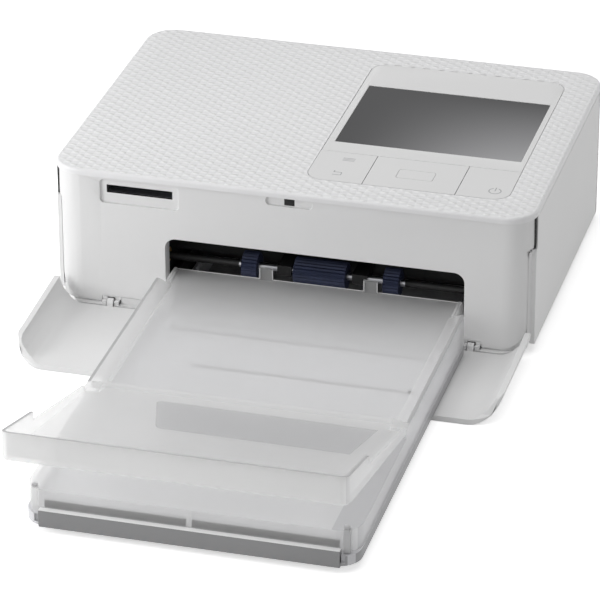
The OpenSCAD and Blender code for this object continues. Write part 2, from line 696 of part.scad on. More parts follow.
// Frame
module bush_holes(r) for (at = [feed_at, capstan_at, platen_at]) rod(-big, big, at, r);
module left_plate() in_place() color(steel) difference() {
    side(plate_points, left_x, left_x + plate_t);
    bush_holes(bush_r);
    rod(-big, big, pinch_at, pinch_shaft_r + running);
    rod(-big, big, takeup_at, core_r + 0.5 + running);
    rod(-big, big, head_pivot, head_shaft_r);
    rod(-big, big, idler_at, axle_r);
}
window_points = [[supply_at[0] - 9.5, 31], [supply_at[0] + 6, 31], [supply_at[0] + 6, 24.05],
    [takeup_at[0] + 10, 24.05], [takeup_at[0] + 10, 48], [supply_at[0] - 9.5, 48]];
module right_plate() in_place() color(steel) difference() {
    side(plate_points, right_x, right_x + plate_t);
    bush_holes(bush_r);
    rod(-big, big, pinch_at, pinch_shaft_r + running);
    rod(-big, big, head_pivot, head_shaft_r);
    side(window_points, right_x - 1, right_x + plate_t + 1);
}
standoffs = [[28, 7], [92, 10], [76, 46]];
module gearbox_plate() in_place() color(steel) difference() {
    union() {
        side([[plate_front + 4, pan_top], [plate_rear, pan_top], [plate_rear, plate_high],
            [plate_step_y + 5, plate_high], [plate_step_y - 4, plate_low], [plate_front + 4, plate_low]],
            box_x, box_x + plate_t);
        for (at = standoffs) rod(box_x + plate_t, left_x, at, 2);
    }
    for (at = [feed_pinion_at, ribbon_pinion_at]) rod(-big, big, at, motor_shaft_r + 0.5);
    rod(-big, big, idler_at, axle_r);
    rod(-big, big, capstan_at, journal_r + 0.5);
    rod(-big, big, takeup_at, axle_r + 0.1);
}
module shaft_bushings() in_place() color("gold") for (x = [left_x, right_x]) {
    bush(x, feed_at, feed_shaft_r);
    bush(x, capstan_at, journal_r);
    bush(x, platen_at, journal_r);
}
module bush(x, at, r) difference() {
    rod(x, x + plate_t, at, bush_r);
    rod(x - 1, x + plate_t + 1, at, r + running);
}

bay_gap = 0.8;
bay_x0 = cas_x - narrow_w / 2 - bay_gap;
bay_x1 = cas_x + narrow_w / 2 + bay_gap;
bay_front = 6.2;
bay_rear = cas_rear + 2;
module paper_bay() in_place() color("black") {
    for (x = [bay_x0 - rim_t, bay_x1]) block(x, x + rim_t, bay_front, bay_rear, pan_top, 13);
    block(bay_x0, bay_x1, bay_rear - rim_t, bay_rear, pan_top, 9);
}
guide_x0 = left_x + plate_t;
guide_front = 12;
guide_z = 28.2;
module exit_guide() in_place() color("black") {
    block(guide_x0, right_x, guide_front, capstan_at[0] - 7, guide_z, guide_z + rim_t);
    block(guide_x0, right_x, guide_front, guide_front + 1.6, guide_z + rim_t, plate_low - 1);
}
holder_rear = 27;
module roller_holders() in_place() color("black") difference() {
    union() {
        block(guide_x0, right_x, holder_rear - 3, holder_rear, 17.5, 22);
        for (s = holder_spans) block(s[0], s[1], feed_at[0] - 2.6, holder_rear - 3, 17.2, 21.2);
    }
    rod(-big, big, feed_at, feed_shaft_r + running);
}

// Paper drive
module feed_shaft() in_place() color(steel)
    rod(box_x + plate_t + 0.6, right_x + plate_t + 1.5, feed_at, feed_shaft_r);
module feed_rollers() in_place() color("midnightblue") for (s = feed_spans) difference() {
    translate([s[0], feed_at[0], feed_at[1]]) rotate([90, 0, 90]) linear_extrude(s[1] - s[0])
        polygon([for (i = [0:roller_ribs * 2 - 1])
            (feed_r - (i % 2) * 0.5) * [cos(i * 180 / roller_ribs), sin(i * 180 / roller_ribs)]]);
    rod(s[0] - 1, s[1] + 1, feed_at, feed_shaft_r);
}
module feed_gear() in_place() color("ivory") gear(teeth_big, feed_phase, feed_at, gear_x, feed_shaft_r);
module idler_gear() in_place() color("ivory")
    gear(teeth_idler, idler_phase, idler_at, gear_x, axle_r + running);
module idler_axle() in_place() color(steel) rod(box_x, left_x + plate_t, idler_at, axle_r);
module capstan_shaft() in_place() color(steel) union() {
    rod(box_x + plate_t + 0.6, right_x + plate_t + 1.5, capstan_at, journal_r);
    rod(guide_x0 + 3, right_x - 3, capstan_at, capstan_r);
}
module capstan_gear() in_place() color("ivory") gear(teeth_big, 0, capstan_at, gear_x, journal_r);
module pinch_roller() in_place() color(black) union() {
    rod(left_x, right_x + plate_t, pinch_at, pinch_shaft_r);
    rod(cas_x - 44, cas_x + 44, pinch_at, pinch_r);
}
module platen_roller() in_place() color(black) union() {
    rod(left_x - 0.5, right_x + plate_t + 0.5, platen_at, journal_r);
    rod(cas_x - head_w / 2, cas_x + head_w / 2, platen_at, platen_r);
}
motor_len = 19;
module motor(at, r) difference() {
    rod(box_x - motor_len, box_x, at, r);
    rod(box_x - 5, box_x + 1, at, motor_shaft_r + running);
}
module feed_motor() in_place() color(steel) motor(feed_pinion_at, 12);
module ribbon_motor() in_place() color(steel) motor(ribbon_pinion_at, 9);
module pinion(at, phase) union() {
    gear(teeth_pinion, phase, at, gear_x, motor_shaft_r);
    rod(box_x - 4.5, gear_x + gear_w, at, motor_shaft_r);
}
module feed_pinion() in_place() color("goldenrod") pinion(feed_pinion_at, feed_pinion_phase);
module ribbon_pinion() in_place() color("goldenrod") pinion(ribbon_pinion_at, ribbon_pinion_phase);

// Print head over the platen, lifted
head_x0 = cas_x - head_w / 2;
head_x1 = cas_x + head_w / 2;
head_z = nip_z + head_lift;
arm_z = plate_high - 0.5;
arm_t = 1.2;
ear_out = 7;
module thermal_head() in_place() color(steel) {
    block(head_x0, head_x1, platen_y - 5, platen_y + 5, head_z + 1.2, arm_z - 3.5);
    color("ivory") block(head_x0, head_x1, platen_y - 5, platen_y + 5, head_z, head_z + 1.2);
}
module head_arm() in_place() color(steel) difference() {
    union() {
        block(head_x0 + ear_out, head_x1 - ear_out, platen_y - 2, head_pivot[0] + 2, arm_z, arm_z + arm_t);
        block(head_x0 + ear_out, head_x1 - ear_out, platen_y - 2, platen_y - 0.8, arm_z - 3.5, arm_z);
        for (x = [head_x0 + ear_out, head_x1 - ear_out - arm_t])
            block(x, x + arm_t, head_pivot[0] - 3, head_pivot[0] + 2, head_pivot[1] - 3, arm_z);
    }
    rod(-big, big, head_pivot, head_shaft_r + running);
}
module head_pivot_shaft() in_place() color(steel) rod(left_x, right_x + plate_t, head_pivot, head_shaft_r);
module head_springs() in_place() color(steel)
    for (x = [head_x0 + ear_out + arm_t + 0.5, head_x1 - ear_out - arm_t - 6.5]) difference() {
        rod(x, x + 6, head_pivot, head_shaft_r + 1);
        rod(x - 1, x + 7, head_pivot, head_shaft_r);
    }

// Ink cassette
sheet_x0 = cas_x - sheet_w / 2;
sheet_x1 = cas_x + sheet_w / 2;
tube_in = roll_r + 0.6;
tube_out = tube_in + 1;
end_x0 = head_x0 - 2.6;
end_x1 = head_x1 + 2.4;
end_t = 2;
web_t = 0.15;
web_z = nip_z + paper_gap;
bar_r = 0.9;
bar_in = roll_r + 1.3;
bar_z = web_z + web_t + bar_r + 0.2;
web_y0 = supply_at[0] + roll_r + 0.05;
web_y1 = takeup_at[0] - roll_r - 0.05;
bars = [[supply_at[0] + bar_in, bar_z], [takeup_at[0] - bar_in, bar_z]];
tube_low = supply_at[1] - tube_out;
end_low = [[supply_at[0], tube_low], [bars[0][0] - 1, bar_z - 1], [bars[1][0] + 1, bar_z - 1],
    [takeup_at[0], tube_low]];
module ribbon_cassette() in_place() color(black) difference() {
    union() {
        for (at = [supply_at, takeup_at]) difference() {
            rod(end_x0, end_x1 + end_t, at, tube_out);
            rod(end_x0 + end_t, end_x1, at, tube_in);
        }
        for (at = bars) rod(end_x0, end_x1 + end_t, at, bar_r);
        side(concat(end_low, [[takeup_at[0], tube_low + 2.8], [bars[1][0], bar_z + 1.5],
            [bars[0][0], bar_z + 1.5], [supply_at[0], tube_low + 2.8]]), end_x0, end_x0 + end_t);
        side(concat(end_low, [[takeup_at[0], takeup_at[1] + tube_out],
            [supply_at[0], supply_at[1] + tube_out]]), end_x1, end_x1 + end_t);
    }
    for (y = [supply_at[0] + roll_r - 0.6, takeup_at[0] - roll_r - 2])
        block(end_x0 + end_t, end_x1, y, y + 2.6, tube_low - 0.2, supply_at[1] - 1);
    for (at = [supply_at, takeup_at]) rod(end_x0 - 1, end_x1 + end_t / 2, at, core_r - 0.2);
}
module ribbon_film() in_place() color("brown") side([[web_y0, supply_at[1]], [web_y0, web_z + 0.65],
    [web_y0 + 0.65, web_z], [web_y1 - 0.65, web_z], [web_y1, web_z + 0.65], [web_y1, takeup_at[1]],
    [web_y1 - web_t, takeup_at[1]], [web_y1 - web_t, web_z + 0.71], [web_y1 - 0.71, web_z + web_t],
    [web_y0 + 0.71, web_z + web_t], [web_y0 + web_t, web_z + 0.71], [web_y0 + web_t, supply_at[1]]],
    sheet_x0, sheet_x1);
module spool(at) union() {
    rod(sheet_x0, sheet_x1, at, roll_r);
    rod(end_x0 + end_t + 0.3, end_x1 - 0.3, at, core_r);
    rod(end_x0, end_x1 + end_t / 2 - 0.3, at, core_r - 0.5);
}
module supply_spool() in_place() color("gray") spool(supply_at);
module takeup_spool() in_place() color("gray") spool(takeup_at);
module takeup_gear() in_place() color("ivory") union() {
    gear(teeth_big, 0, takeup_at, gear_x, axle_r);
    rod(gear_x + gear_w, end_x0, takeup_at, core_r + 0.5);
    rod(box_x, gear_x + gear_w, takeup_at, axle_r);
}

// Main board behind the paper bay, with its processor and its driver, on four posts
main_x0 = left_x + 9;
main_x1 = right_x - 6;
main_y0 = 50;
main_y1 = body_d - 13;
main_z = pan_top + 2.6;
main_top = main_z + 1.6;
post_in = 4;
module main_board() in_place() color("darkgreen") {
    block(main_x0, main_x1, main_y0, main_y1, main_z, main_top);
    block(main_x0 + 12, main_x0 + 32, main_y1 - 32, main_y1 - 12, main_top, main_top + 2.2);
    block(main_x1 - 52, main_x1 - 22, main_y1 - 34, main_y1 - 16, main_top, main_top + 1.4);
    for (x = [main_x0 + post_in, main_x1 - post_in], y = [main_y0 + post_in, main_y1 - post_in])
        post(x, y, pan_top, main_z, 2.5);
}

// Paper cassette
wide0 = cas_x - cas_w / 2;
wide1 = cas_x + cas_w / 2;
nar0 = cas_x - narrow_w / 2;
nar1 = cas_x + narrow_w / 2;
bar0 = cas_x - bar_w / 2;
bar1 = cas_x + bar_w / 2;
plate_w = 98;
hinge_y = -14;
hinge_z = cas_z + cas_t + 1.6;
plate_pin_r = 0.8;

module cassette_tray() in_place() color("darkgray") difference() {
    union() {
        tray_shell();
        tray_ears();
    }
    rod(cas_x - plate_w / 2 - 3, cas_x + plate_w / 2 + 3, [hinge_y, hinge_z], plate_pin_r + running);
    for (x = [bar0 - 1.6, bar1]) block(x, x + 1.6, -cas_front - 1, -cas_front + 1.6, cas_z + 1, bar_top + 1);
}
module tray_shell() difference() {
    union() {
        plan(soft_rect(wide0, wide1, -cas_front, -wide_end, cas_r, 0), cas_z, base_top);
        block(nar0, nar1, -wide_end - 1, cas_rear, cas_z, base_top);
        block(bar0, bar1, -cas_front, -cas_front + bar_t, cas_z - 0.6, bar_top);
    }
    plan(soft_rect(wide0 + cas_t, wide1 - cas_t, -cas_front + bar_t, -wide_end - cas_t, cas_r - cas_t, 0),
        cas_z + cas_t, base_top + 1);
    block(nar0 + cas_t, nar1 - cas_t, -wide_end - cas_t * 2, cas_rear - cas_t, cas_z + cas_t, base_top + 4);
}
module tray_ears() for (x = [cas_x - plate_w / 2 - 2.6, cas_x + plate_w / 2 + 0.6])
    block(x, x + 2, hinge_y - 2, hinge_y + 2, cas_z + cas_t, hinge_z + 1.4);

module pressure_plate() in_place() color("gainsboro") union() {
    block(cas_x - plate_w / 2, cas_x + plate_w / 2, hinge_y, cas_rear - cas_t - 1,
        cas_z + cas_t + 0.2, cas_z + cas_t + 1.2);
    rod(cas_x - plate_w / 2, cas_x + plate_w / 2, [hinge_y, hinge_z], 1.3);
    rod(cas_x - plate_w / 2 - 2.6, cas_x + plate_w / 2 + 2.6, [hinge_y, hinge_z], plate_pin_r);
}

// Inner lid: a raised trough with sloping sides at the rear, a flat deck in front.
trough_grade = (trough_rear_z - trough_front_z) / (trough_front + lid_rear);
deck_start = trough_front + 4;
deck_front = cas_front - bar_t - 0.1;
hinge_front = pivot_y + 6.7;
lid_hole_r = lid_pin_r + running;
function trough_at(y, drop) = trough_front_z + (y + trough_front) * trough_grade - drop;
function lid_side(drop) = [[-deck_front + (drop > 0 ? drop : 0), base_top - (drop > 0 ? 1 : 0)],
    [-deck_front + (drop > 0 ? drop : 0), deck_z - drop], [-deck_start - drop, deck_z - drop],
    [-deck_start - drop, trough_at(-trough_front, drop)], [-trough_front, trough_at(-trough_front, drop)],
    [lid_rear + 1, trough_at(lid_rear + 1, drop)], [lid_rear + 1, base_top - (drop > 0 ? 1 : 0)]];
module lid_plan(inset, z0, z1) {
    plan(soft_rect(wide0 + inset, wide1 - inset, -deck_front + inset, -wide_end - inset,
        cas_r - inset, 0), z0, z1);
    block(nar0 + inset, nar1 - inset, -wide_end - inset - 1, lid_rear, z0, z1);
}
module cassette_inner_lid() in_place() color(milky) difference() {
    union() {
        difference() {
            intersection() {
                lid_plan(0, base_top, trough_top);
                side(lid_side(0), wide0, wide1);
            }
            intersection() {
                lid_plan(lid_t, base_top - 1, trough_top);
                side(lid_side(lid_t), wide0, wide1);
            }
        }
        for (s = [-1, 1]) side_rail(s);
        for (s = [-1, 1]) translate([cas_x + s * tab_x, 0, 0])
            block(-tab_w / 2, tab_w / 2, lid_rear - lid_t, lid_rear, trough_rear_z - 1, tab_top);
    }
    for (s = [-1, 1])
        rod(s > 0 ? cas_x + cas_w / 2 - slope_w - lid_t - 2 : wide0 + 1,
            s > 0 ? wide1 - 1 : wide0 + slope_w + lid_t + 2, [-pivot_y, pivot_z], lid_hole_r);
}
// A side rail stands beside the trough, slopes in towards its floor and ends in the hinge block.
module side_rail(s) translate([cas_x, 0, 0]) scale([s, 1, 1]) {
    half = cas_w / 2;
    front([[half - lid_t, trough_front_z], [half, trough_front_z], [half, trough_top],
        [half - lid_t, trough_top], [half - slope_w - lid_t, trough_rear_z + 0.1],
        [half - slope_w - lid_t, trough_front_z]], -pivot_y - 2, -wide_end);
    block(half - slope_w - lid_t, half, -hinge_front, -pivot_y - 1.5, deck_z - 1, trough_top - 0.2);
    block(narrow_w / 2 - lid_t, narrow_w / 2, -wide_end, lid_rear - 2,
        trough_front_z, trough_rear_z + 1.6);
}

// Outer lid, flipped open: a sloping plate with rims that grow into a fence and a front lip.
grade = tan(lid_tilt);
function under(y) = pivot_z - lid_drop + (-pivot_y - y) * grade;
root_gap = 0.5;
root0 = wide0 + slope_w + lid_t + root_gap;
root1 = wide1 - slope_w - lid_t - root_gap;
lid_far = -pivot_y - root_len;
module outer_plan(inset, z0, z1) {
    plan(soft_rect(wide0 + inset, wide1 - inset, -lid_reach + inset, lid_far - inset,
        lid_r - inset, 0), z0, z1);
}
rim_side = [[lid_far, under(lid_far)], [lid_far, under(lid_far) + rim_root],
    [-fence_y, under(-fence_y) + rim_end], [-fence_y, under(-fence_y) + fence_start],
    [-lid_reach, under(-lid_reach) + lip_h], [-lid_reach, under(-lid_reach)]];
plate_side = [[lid_far, under(lid_far)], [lid_far, under(lid_far) + lid_t],
    [-lid_reach, under(-lid_reach) + lid_t], [-lid_reach, under(-lid_reach)]];
lid_top = under(-lid_reach) + lip_h + 1;
module cassette_outer_lid() in_place() color(milky) union() {
    intersection() {
        difference() {
            outer_plan(0, 0, lid_top);
            outer_plan(lid_t, -1, lid_top + 1);
            block(wide0 + lid_t, wide1 - lid_t, lid_far - lid_t * 2, 0, -1, lid_top + 1);
        }
        side(rim_side, wide0 - 1, wide1 + 1);
    }
    intersection() {
        outer_plan(0, 0, lid_top);
        side(plate_side, wide0 - 1, wide1 + 1);
    }
    side([[lid_far, under(lid_far)], [lid_far, under(lid_far) + lid_t], [-pivot_y, under(-pivot_y) + lid_t],
        [-pivot_y, under(-pivot_y)]], root0, root1);
    rod(root0, root1, [-pivot_y, pivot_z], lid_pin_r + 0.6);
    rod(wide0 + 1.5, wide1 - 1.5, [-pivot_y, pivot_z], lid_pin_r);
}

lower_case();
rubber_feet();
case_screws();
front_shell();
top_cover();
left_shell();
rear_cover();
latch_insert();
card_reader();
cassette_door();
cassette_door_pins();
ink_door();
ink_door_pins();
control_panel();
display_window();
display_module();
display_cable();
control_board();
menu_key();
nav_key();
ok_key();
power_key();
left_plate();
right_plate();
gearbox_plate();
shaft_bushings();
paper_bay();
exit_guide();
roller_holders();
feed_shaft();
feed_rollers();
feed_gear();
idler_gear();
idler_axle();
capstan_shaft();
capstan_gear();
feed_motor();
feed_pinion();
pinch_roller();
platen_roller();
thermal_head();
head_arm();
head_pivot_shaft();
head_springs();
ribbon_cassette();
ribbon_film();
supply_spool();
takeup_spool();
takeup_gear();
ribbon_motor();
ribbon_pinion();
main_board();
dc_jack();
usb_port();
cassette_tray();
cassette_inner_lid();
cassette_outer_lid();
pressure_plate();
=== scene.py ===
import json
import math

import bmesh
import bpy
from mathutils import Matrix, Vector


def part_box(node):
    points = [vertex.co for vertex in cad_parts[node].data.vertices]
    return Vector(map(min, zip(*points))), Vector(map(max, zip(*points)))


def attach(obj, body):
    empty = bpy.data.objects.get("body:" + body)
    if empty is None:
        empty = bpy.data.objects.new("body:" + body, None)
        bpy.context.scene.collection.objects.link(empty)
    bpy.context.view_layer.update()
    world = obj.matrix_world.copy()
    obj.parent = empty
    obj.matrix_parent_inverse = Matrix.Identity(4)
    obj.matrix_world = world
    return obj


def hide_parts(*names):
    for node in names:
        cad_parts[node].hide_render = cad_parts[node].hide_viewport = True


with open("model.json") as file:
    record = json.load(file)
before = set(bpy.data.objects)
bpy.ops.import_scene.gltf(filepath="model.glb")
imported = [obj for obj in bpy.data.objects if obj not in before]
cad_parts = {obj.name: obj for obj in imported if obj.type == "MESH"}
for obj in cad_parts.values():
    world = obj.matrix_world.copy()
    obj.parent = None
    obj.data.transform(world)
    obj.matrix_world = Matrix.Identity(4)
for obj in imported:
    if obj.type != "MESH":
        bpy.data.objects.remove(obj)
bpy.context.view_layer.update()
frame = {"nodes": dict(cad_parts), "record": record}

MM = 0.001
# The casing's front face lies this far behind the origin, because the lids reach forward of it.
CASING_FRONT = 19.4
# Flat faces of the moulded parts meet at more than this angle at a real edge.
REAL_EDGE = math.radians(28)
# The card slot's middle, across and in height
SLOT_X = -57.2
SLOT_Z = 49.5
# The open outer lid: its pivot in front of the casing and in height, its slope and its wall
LID_PIVOT_Y = 84.6
LID_PIVOT_Z = 16.5
LID_TILT = math.radians(11.6)
LID_WALL = 1.2
# The height of the mouth's upper edge
MOUTH_TOP = 32
# The casing's upper face, with which the keys are flush
CASING_TOP = 57.6
# The lines printed on the keys: their width, and the gap in a ring that a bar passes
INK_LINE = 0.45
RING_GAP = 1.8


# Colour and node helpers

def paint(hex_colour):
    """A colour as it is written on screen, turned into the linear values that the shader wants."""
    parts = [int(hex_colour[i:i + 2], 16) / 255 for i in (1, 3, 5)]
    return [c / 12.92 if c <= 0.04045 else ((c + 0.055) / 1.055) ** 2.4 for c in parts] + [1]


def put(tree, kind, links=(), **settings):
    """Adds a node, sets its fields and socket values, and feeds its inputs."""
    node = tree.nodes.new(kind)
    for name, value in settings.items():
        if hasattr(node, name):
            setattr(node, name, value)
        else:
            node.inputs[name.replace("_", " ")].default_value = value
    for socket, source in links:
        tree.links.new(source, node.inputs[socket])
    return node


def plastic(name, colour, roughness, ior=1.5, metallic=0.0):
    """An empty material of that name with one shader, and its tree, shader and object coordinates."""
    material = bpy.data.materials.new(name)
    material.use_nodes = True
    tree = material.node_tree
    shader = tree.nodes["Principled BSDF"]
    shader.inputs["Base Color"].default_value = paint(colour)
    shader.inputs["Roughness"].default_value = roughness
    shader.inputs["IOR"].default_value = ior
    shader.inputs["Metallic"].default_value = metallic
    place = put(tree, "ShaderNodeTexCoord").outputs["Object"]
    return material, tree, shader, place


def math_node(tree, operation, *values):
    """A Math node on sockets or plain numbers, and its result."""
    node = put(tree, "ShaderNodeMath", operation=operation)
    for place, value in enumerate(values):
        if isinstance(value, float):
            node.inputs[place].default_value = value
        else:
            tree.links.new(value, node.inputs[place])
    return node.outputs[0]


def grain(tree, shader, place, size_mm, depth_mm, strength):
    """A moulded surface's fine grain, as bump of that grain size and depth."""
    noise = put(tree, "ShaderNodeTexNoise", [("Vector", place)], Scale=1 / (size_mm * MM), Detail=2.0)
    bump = put(tree, "ShaderNodeBump", [("Height", noise.outputs["Fac"])],
               Distance=depth_mm * MM, Strength=strength)
    tree.links.new(bump.outputs["Normal"], shader.inputs["Normal"])
    return bump


def shade_drift(tree, shader, place, light, dark, size_mm):
    """Slow drift between two near tones, as a large moulding has from its flow and wear."""
    noise = put(tree, "ShaderNodeTexNoise", [("Vector", place)], Scale=1 / (size_mm * MM), Detail=3.0)
    mix = put(tree, "ShaderNodeMix", [("Factor", noise.outputs["Fac"])], data_type="RGBA")
    mix.inputs["A"].default_value = paint(dark)
    mix.inputs["B"].default_value = paint(light)
    tree.links.new(mix.outputs["Result"], shader.inputs["Base Color"])
    return mix


# Materials

def spark_eroded_white_abs():
    """Casing: white ABS from a spark-eroded mould, so soft satin with a fine even grain."""
    material, tree, shader, place = plastic("spark_eroded_white_abs", "#E6E6E6", 0.48)
    shade_drift(tree, shader, place, "#E8E8E8", "#E3E3E3", 60)
    grain(tree, shader, place, 0.45, 0.012, 0.5)
    return material


def lattice_white_abs():
    """Top cover: the same ABS, with a staggered lattice of small raised lenses in its upper face."""
    material, tree, shader, place = plastic("lattice_white_abs", "#E6E6E8", 0.42)
    drift = shade_drift(tree, shader, place, "#EBEBEC", "#E7E7E8", 50)
    # a lens repeats after two of these lengths along and across, and the rows wander a little
    lens_x, lens_y = 2.84, 2.06
    wander = put(tree, "ShaderNodeTexNoise", [("Vector", place)], Scale=1 / (7 * MM), Detail=1.0)
    shift = put(tree, "ShaderNodeVectorMath", [(0, wander.outputs["Color"])], operation="SUBTRACT")
    shift.inputs[1].default_value = (0.5, 0.5, 0.5)
    small = put(tree, "ShaderNodeVectorMath", [(0, shift.outputs[0])], operation="SCALE", Scale=1.3 * MM)
    warped = put(tree, "ShaderNodeVectorMath", [(0, place), (1, small.outputs[0])], operation="ADD")
    split = put(tree, "ShaderNodeSeparateXYZ", [("Vector", warped.outputs[0])])
    along = math_node(tree, "MULTIPLY", split.outputs["X"], math.pi / (lens_x * MM))
    across = math_node(tree, "MULTIPLY", split.outputs["Y"], math.pi / (lens_y * MM))
    waves = math_node(tree, "MULTIPLY", math_node(tree, "COSINE", along), math_node(tree, "COSINE", across))
    lens = math_node(tree, "MAXIMUM", waves, 0.0)
    # the lattice is only in the upper face: it fades out over the last tenth of a millimetre below it
    where = put(tree, "ShaderNodeSeparateXYZ", [("Vector", place)])
    upper = put(tree, "ShaderNodeMapRange", [("Value", where.outputs["Z"])],
                From_Min=(CASING_TOP - 0.12) * MM, From_Max=(CASING_TOP - 0.02) * MM)
    height = math_node(tree, "MULTIPLY", lens, upper.outputs[0])
    fine = put(tree, "ShaderNodeTexNoise", [("Vector", place)], Scale=1 / (0.45 * MM), Detail=2.0)
    soft = put(tree, "ShaderNodeBump", [("Height", fine.outputs["Fac"])], Distance=0.012 * MM, Strength=0.4)
    bump = put(tree, "ShaderNodeBump", [("Height", height), ("Normal", soft.outputs["Normal"])],
               Distance=0.32 * MM, Strength=1.0)
    tree.links.new(bump.outputs["Normal"], shader.inputs["Normal"])
    # the lens tops are also painted a lighter white: a painted highlight on each lens
    lens_highlight = put(tree, "ShaderNodeMix", [("Factor", height), ("A", drift.outputs["Result"])], data_type="RGBA")
    lens_highlight.inputs["B"].default_value = paint("#F3F3F3")
    tree.links.new(lens_highlight.outputs["Result"], shader.inputs["Base Color"])
    return material


def panel_white_abs():
    """Control panel and its keys: finer white ABS, smoother than the casing and a shade cooler."""
    material, tree, shader, place = plastic("panel_white_abs", "#E2E2E2", 0.4)
    shade_drift(tree, shader, place, "#E3E3E3", "#DFDFDF", 40)
    grain(tree, shader, place, 0.35, 0.008, 0.4)
    return material


def see_through(tree, shader, bump, colour, scattered, clear):
    """Lets part of the light through a thin wall: some scattered, some straight on."""
    # a real wall of this plastic hardly shades what lies under it, so lamps reach through more
    lamp_share = 0.88
    path = put(tree, "ShaderNodeLightPath")
    share = put(tree, "ShaderNodeMix", [("Factor", path.outputs["Is Shadow Ray"])], A=clear, B=lamp_share)
    glow = put(tree, "ShaderNodeBsdfTranslucent", [("Normal", bump.outputs["Normal"])])
    glow.inputs["Color"].default_value = paint(colour)
    straight = put(tree, "ShaderNodeBsdfTransparent")
    body = put(tree, "ShaderNodeMixShader", [(1, shader.outputs[0]), (2, glow.outputs[0])], Fac=scattered)
    whole = put(tree, "ShaderNodeMixShader", [("Fac", share.outputs["Result"]), (1, body.outputs[0]),
                                              (2, straight.outputs[0])])
    tree.links.new(whole.outputs[0], tree.nodes["Material Output"].inputs["Surface"])


def milky_polypropylene():
    """Lids: natural polypropylene, milky and half see-through, with flow marks from the mould."""
    material, tree, shader, place = plastic("milky_polypropylene", "#E8E8E8", 0.3, ior=1.49)
    shade_drift(tree, shader, place, "#EBEBEB", "#E2E2E2", 25)
    bump = grain(tree, shader, place, 1.2, 0.02, 0.5)
    see_through(tree, shader, bump, "#EAEAEA", 0.4, 0.46)
    return material


def painted_shade_milky_edge():
    """The lids' rims seen along the wall: a darker grey that paints the shaded line along their top edges,
    where the milky plastic also looks denser.
    """
    material, tree, shader, place = plastic("painted_shade_milky_edge", "#B6B6B7", 0.35, ior=1.49)
    shade_drift(tree, shader, place, "#BBBBBC", "#B1B1B2", 10)
    return material


def clear_milky():
    """The lids' thin parts, such as the stop tabs, which are nearly clear."""
    material, tree, shader, place = plastic("clear_milky", "#E0E0E0", 0.25, ior=1.49)
    shade_drift(tree, shader, place, "#E4E4E4", "#DCDCDC", 10)
    bump = grain(tree, shader, place, 1.2, 0.02, 0.3)
    see_through(tree, shader, bump, "#E6E6E6", 0.3, 0.9)
    return material


def shaded_milky():
    """The lids' right walls and the inner lid's right border, where the plastic turns from the light."""
    material, tree, shader, place = plastic("shaded_milky", "#CCCCCD", 0.3, ior=1.49)
    shade_drift(tree, shader, place, "#D0D0D1", "#C8C8C9", 25)
    bump = grain(tree, shader, place, 1.2, 0.02, 0.5)
    see_through(tree, shader, bump, "#CECECF", 0.4, 0.42)
    return material


def frosted_window():
    """The outer lid's window: the same plastic etched matt on its underside, so a shade darker."""
    material, tree, shader, place = plastic("frosted_window", "#CECED0", 0.6, ior=1.49)
    shade_drift(tree, shader, place, "#D0D0D2", "#CACACC", 20)
    bump = grain(tree, shader, place, 0.4, 0.01, 0.4)
    see_through(tree, shader, bump, "#D2D2D4", 0.3, 0.8)
    return material


def tray_grey_abs():
    """Cassette tray: mid grey ABS with a fine even grain from its mould."""
    material, tree, shader, place = plastic("tray_grey_abs", "#A2A2A4", 0.5)
    shade_drift(tree, shader, place, "#A6A6A8", "#9C9C9E", 30)
    grain(tree, shader, place, 0.5, 0.015, 0.5)
    return material


def bar_grey_abs():
    """The tray's front bar: a separate strip of darker grey ABS, satin."""
    material, tree, shader, place = plastic("bar_grey_abs", "#8B8B8C", 0.42)
    shade_drift(tree, shader, place, "#8F8F90", "#878788", 30)
    grain(tree, shader, place, 0.5, 0.015, 0.5)
    return material


def pale_tray_abs():
    """Cassette tray inside its walls: the grey ABS where the lids' milky light washes it out."""
    material, tree, shader, place = plastic("pale_tray_abs", "#CFCFD2", 0.45)
    shade_drift(tree, shader, place, "#D3D3D6", "#CBCBCE", 25)
    grain(tree, shader, place, 0.8, 0.02, 0.5)
    return material


def base_grey_abs():
    """Bottom pan: plain grey ABS with a coarse grain."""
    material, tree, shader, place = plastic("base_grey_abs", "#ABABAD", 0.55)
    shade_drift(tree, shader, place, "#AFAFB1", "#A6A6A8", 30)
    grain(tree, shader, place, 0.8, 0.03, 0.6)
    return material


def black_abs():
    """Inner guides and frames: black ABS, satin, painted darker than the real plastic so that it stays near
    black in the mouth as painted shade; also the painted shade inside the card slot, the catch hole and the
    corner gaps.
    """
    material, tree, shader, place = plastic("black_abs", "#09090A", 0.6)
    shade_drift(tree, shader, place, "#0B0B0C", "#070708", 20)
    grain(tree, shader, place, 0.5, 0.02, 0.6)
    return material


def navy_silicone():
    """Feed rollers: navy silicone, ground matt so that it grips the paper."""
    material, tree, shader, place = plastic("navy_silicone", "#262C44", 0.66, ior=1.41)
    shade_drift(tree, shader, place, "#2B324E", "#20263A", 4)
    grain(tree, shader, place, 0.3, 0.03, 0.7)
    return material


def black_rubber():
    """Feet and pressure rollers: black nitrile rubber, dull, with a dusty bloom."""
    material, tree, shader, place = plastic("black_rubber", "#2A2A2B", 0.8, ior=1.52)
    shade_drift(tree, shader, place, "#323233", "#242425", 5)
    grain(tree, shader, place, 0.4, 0.03, 0.7)
    return material


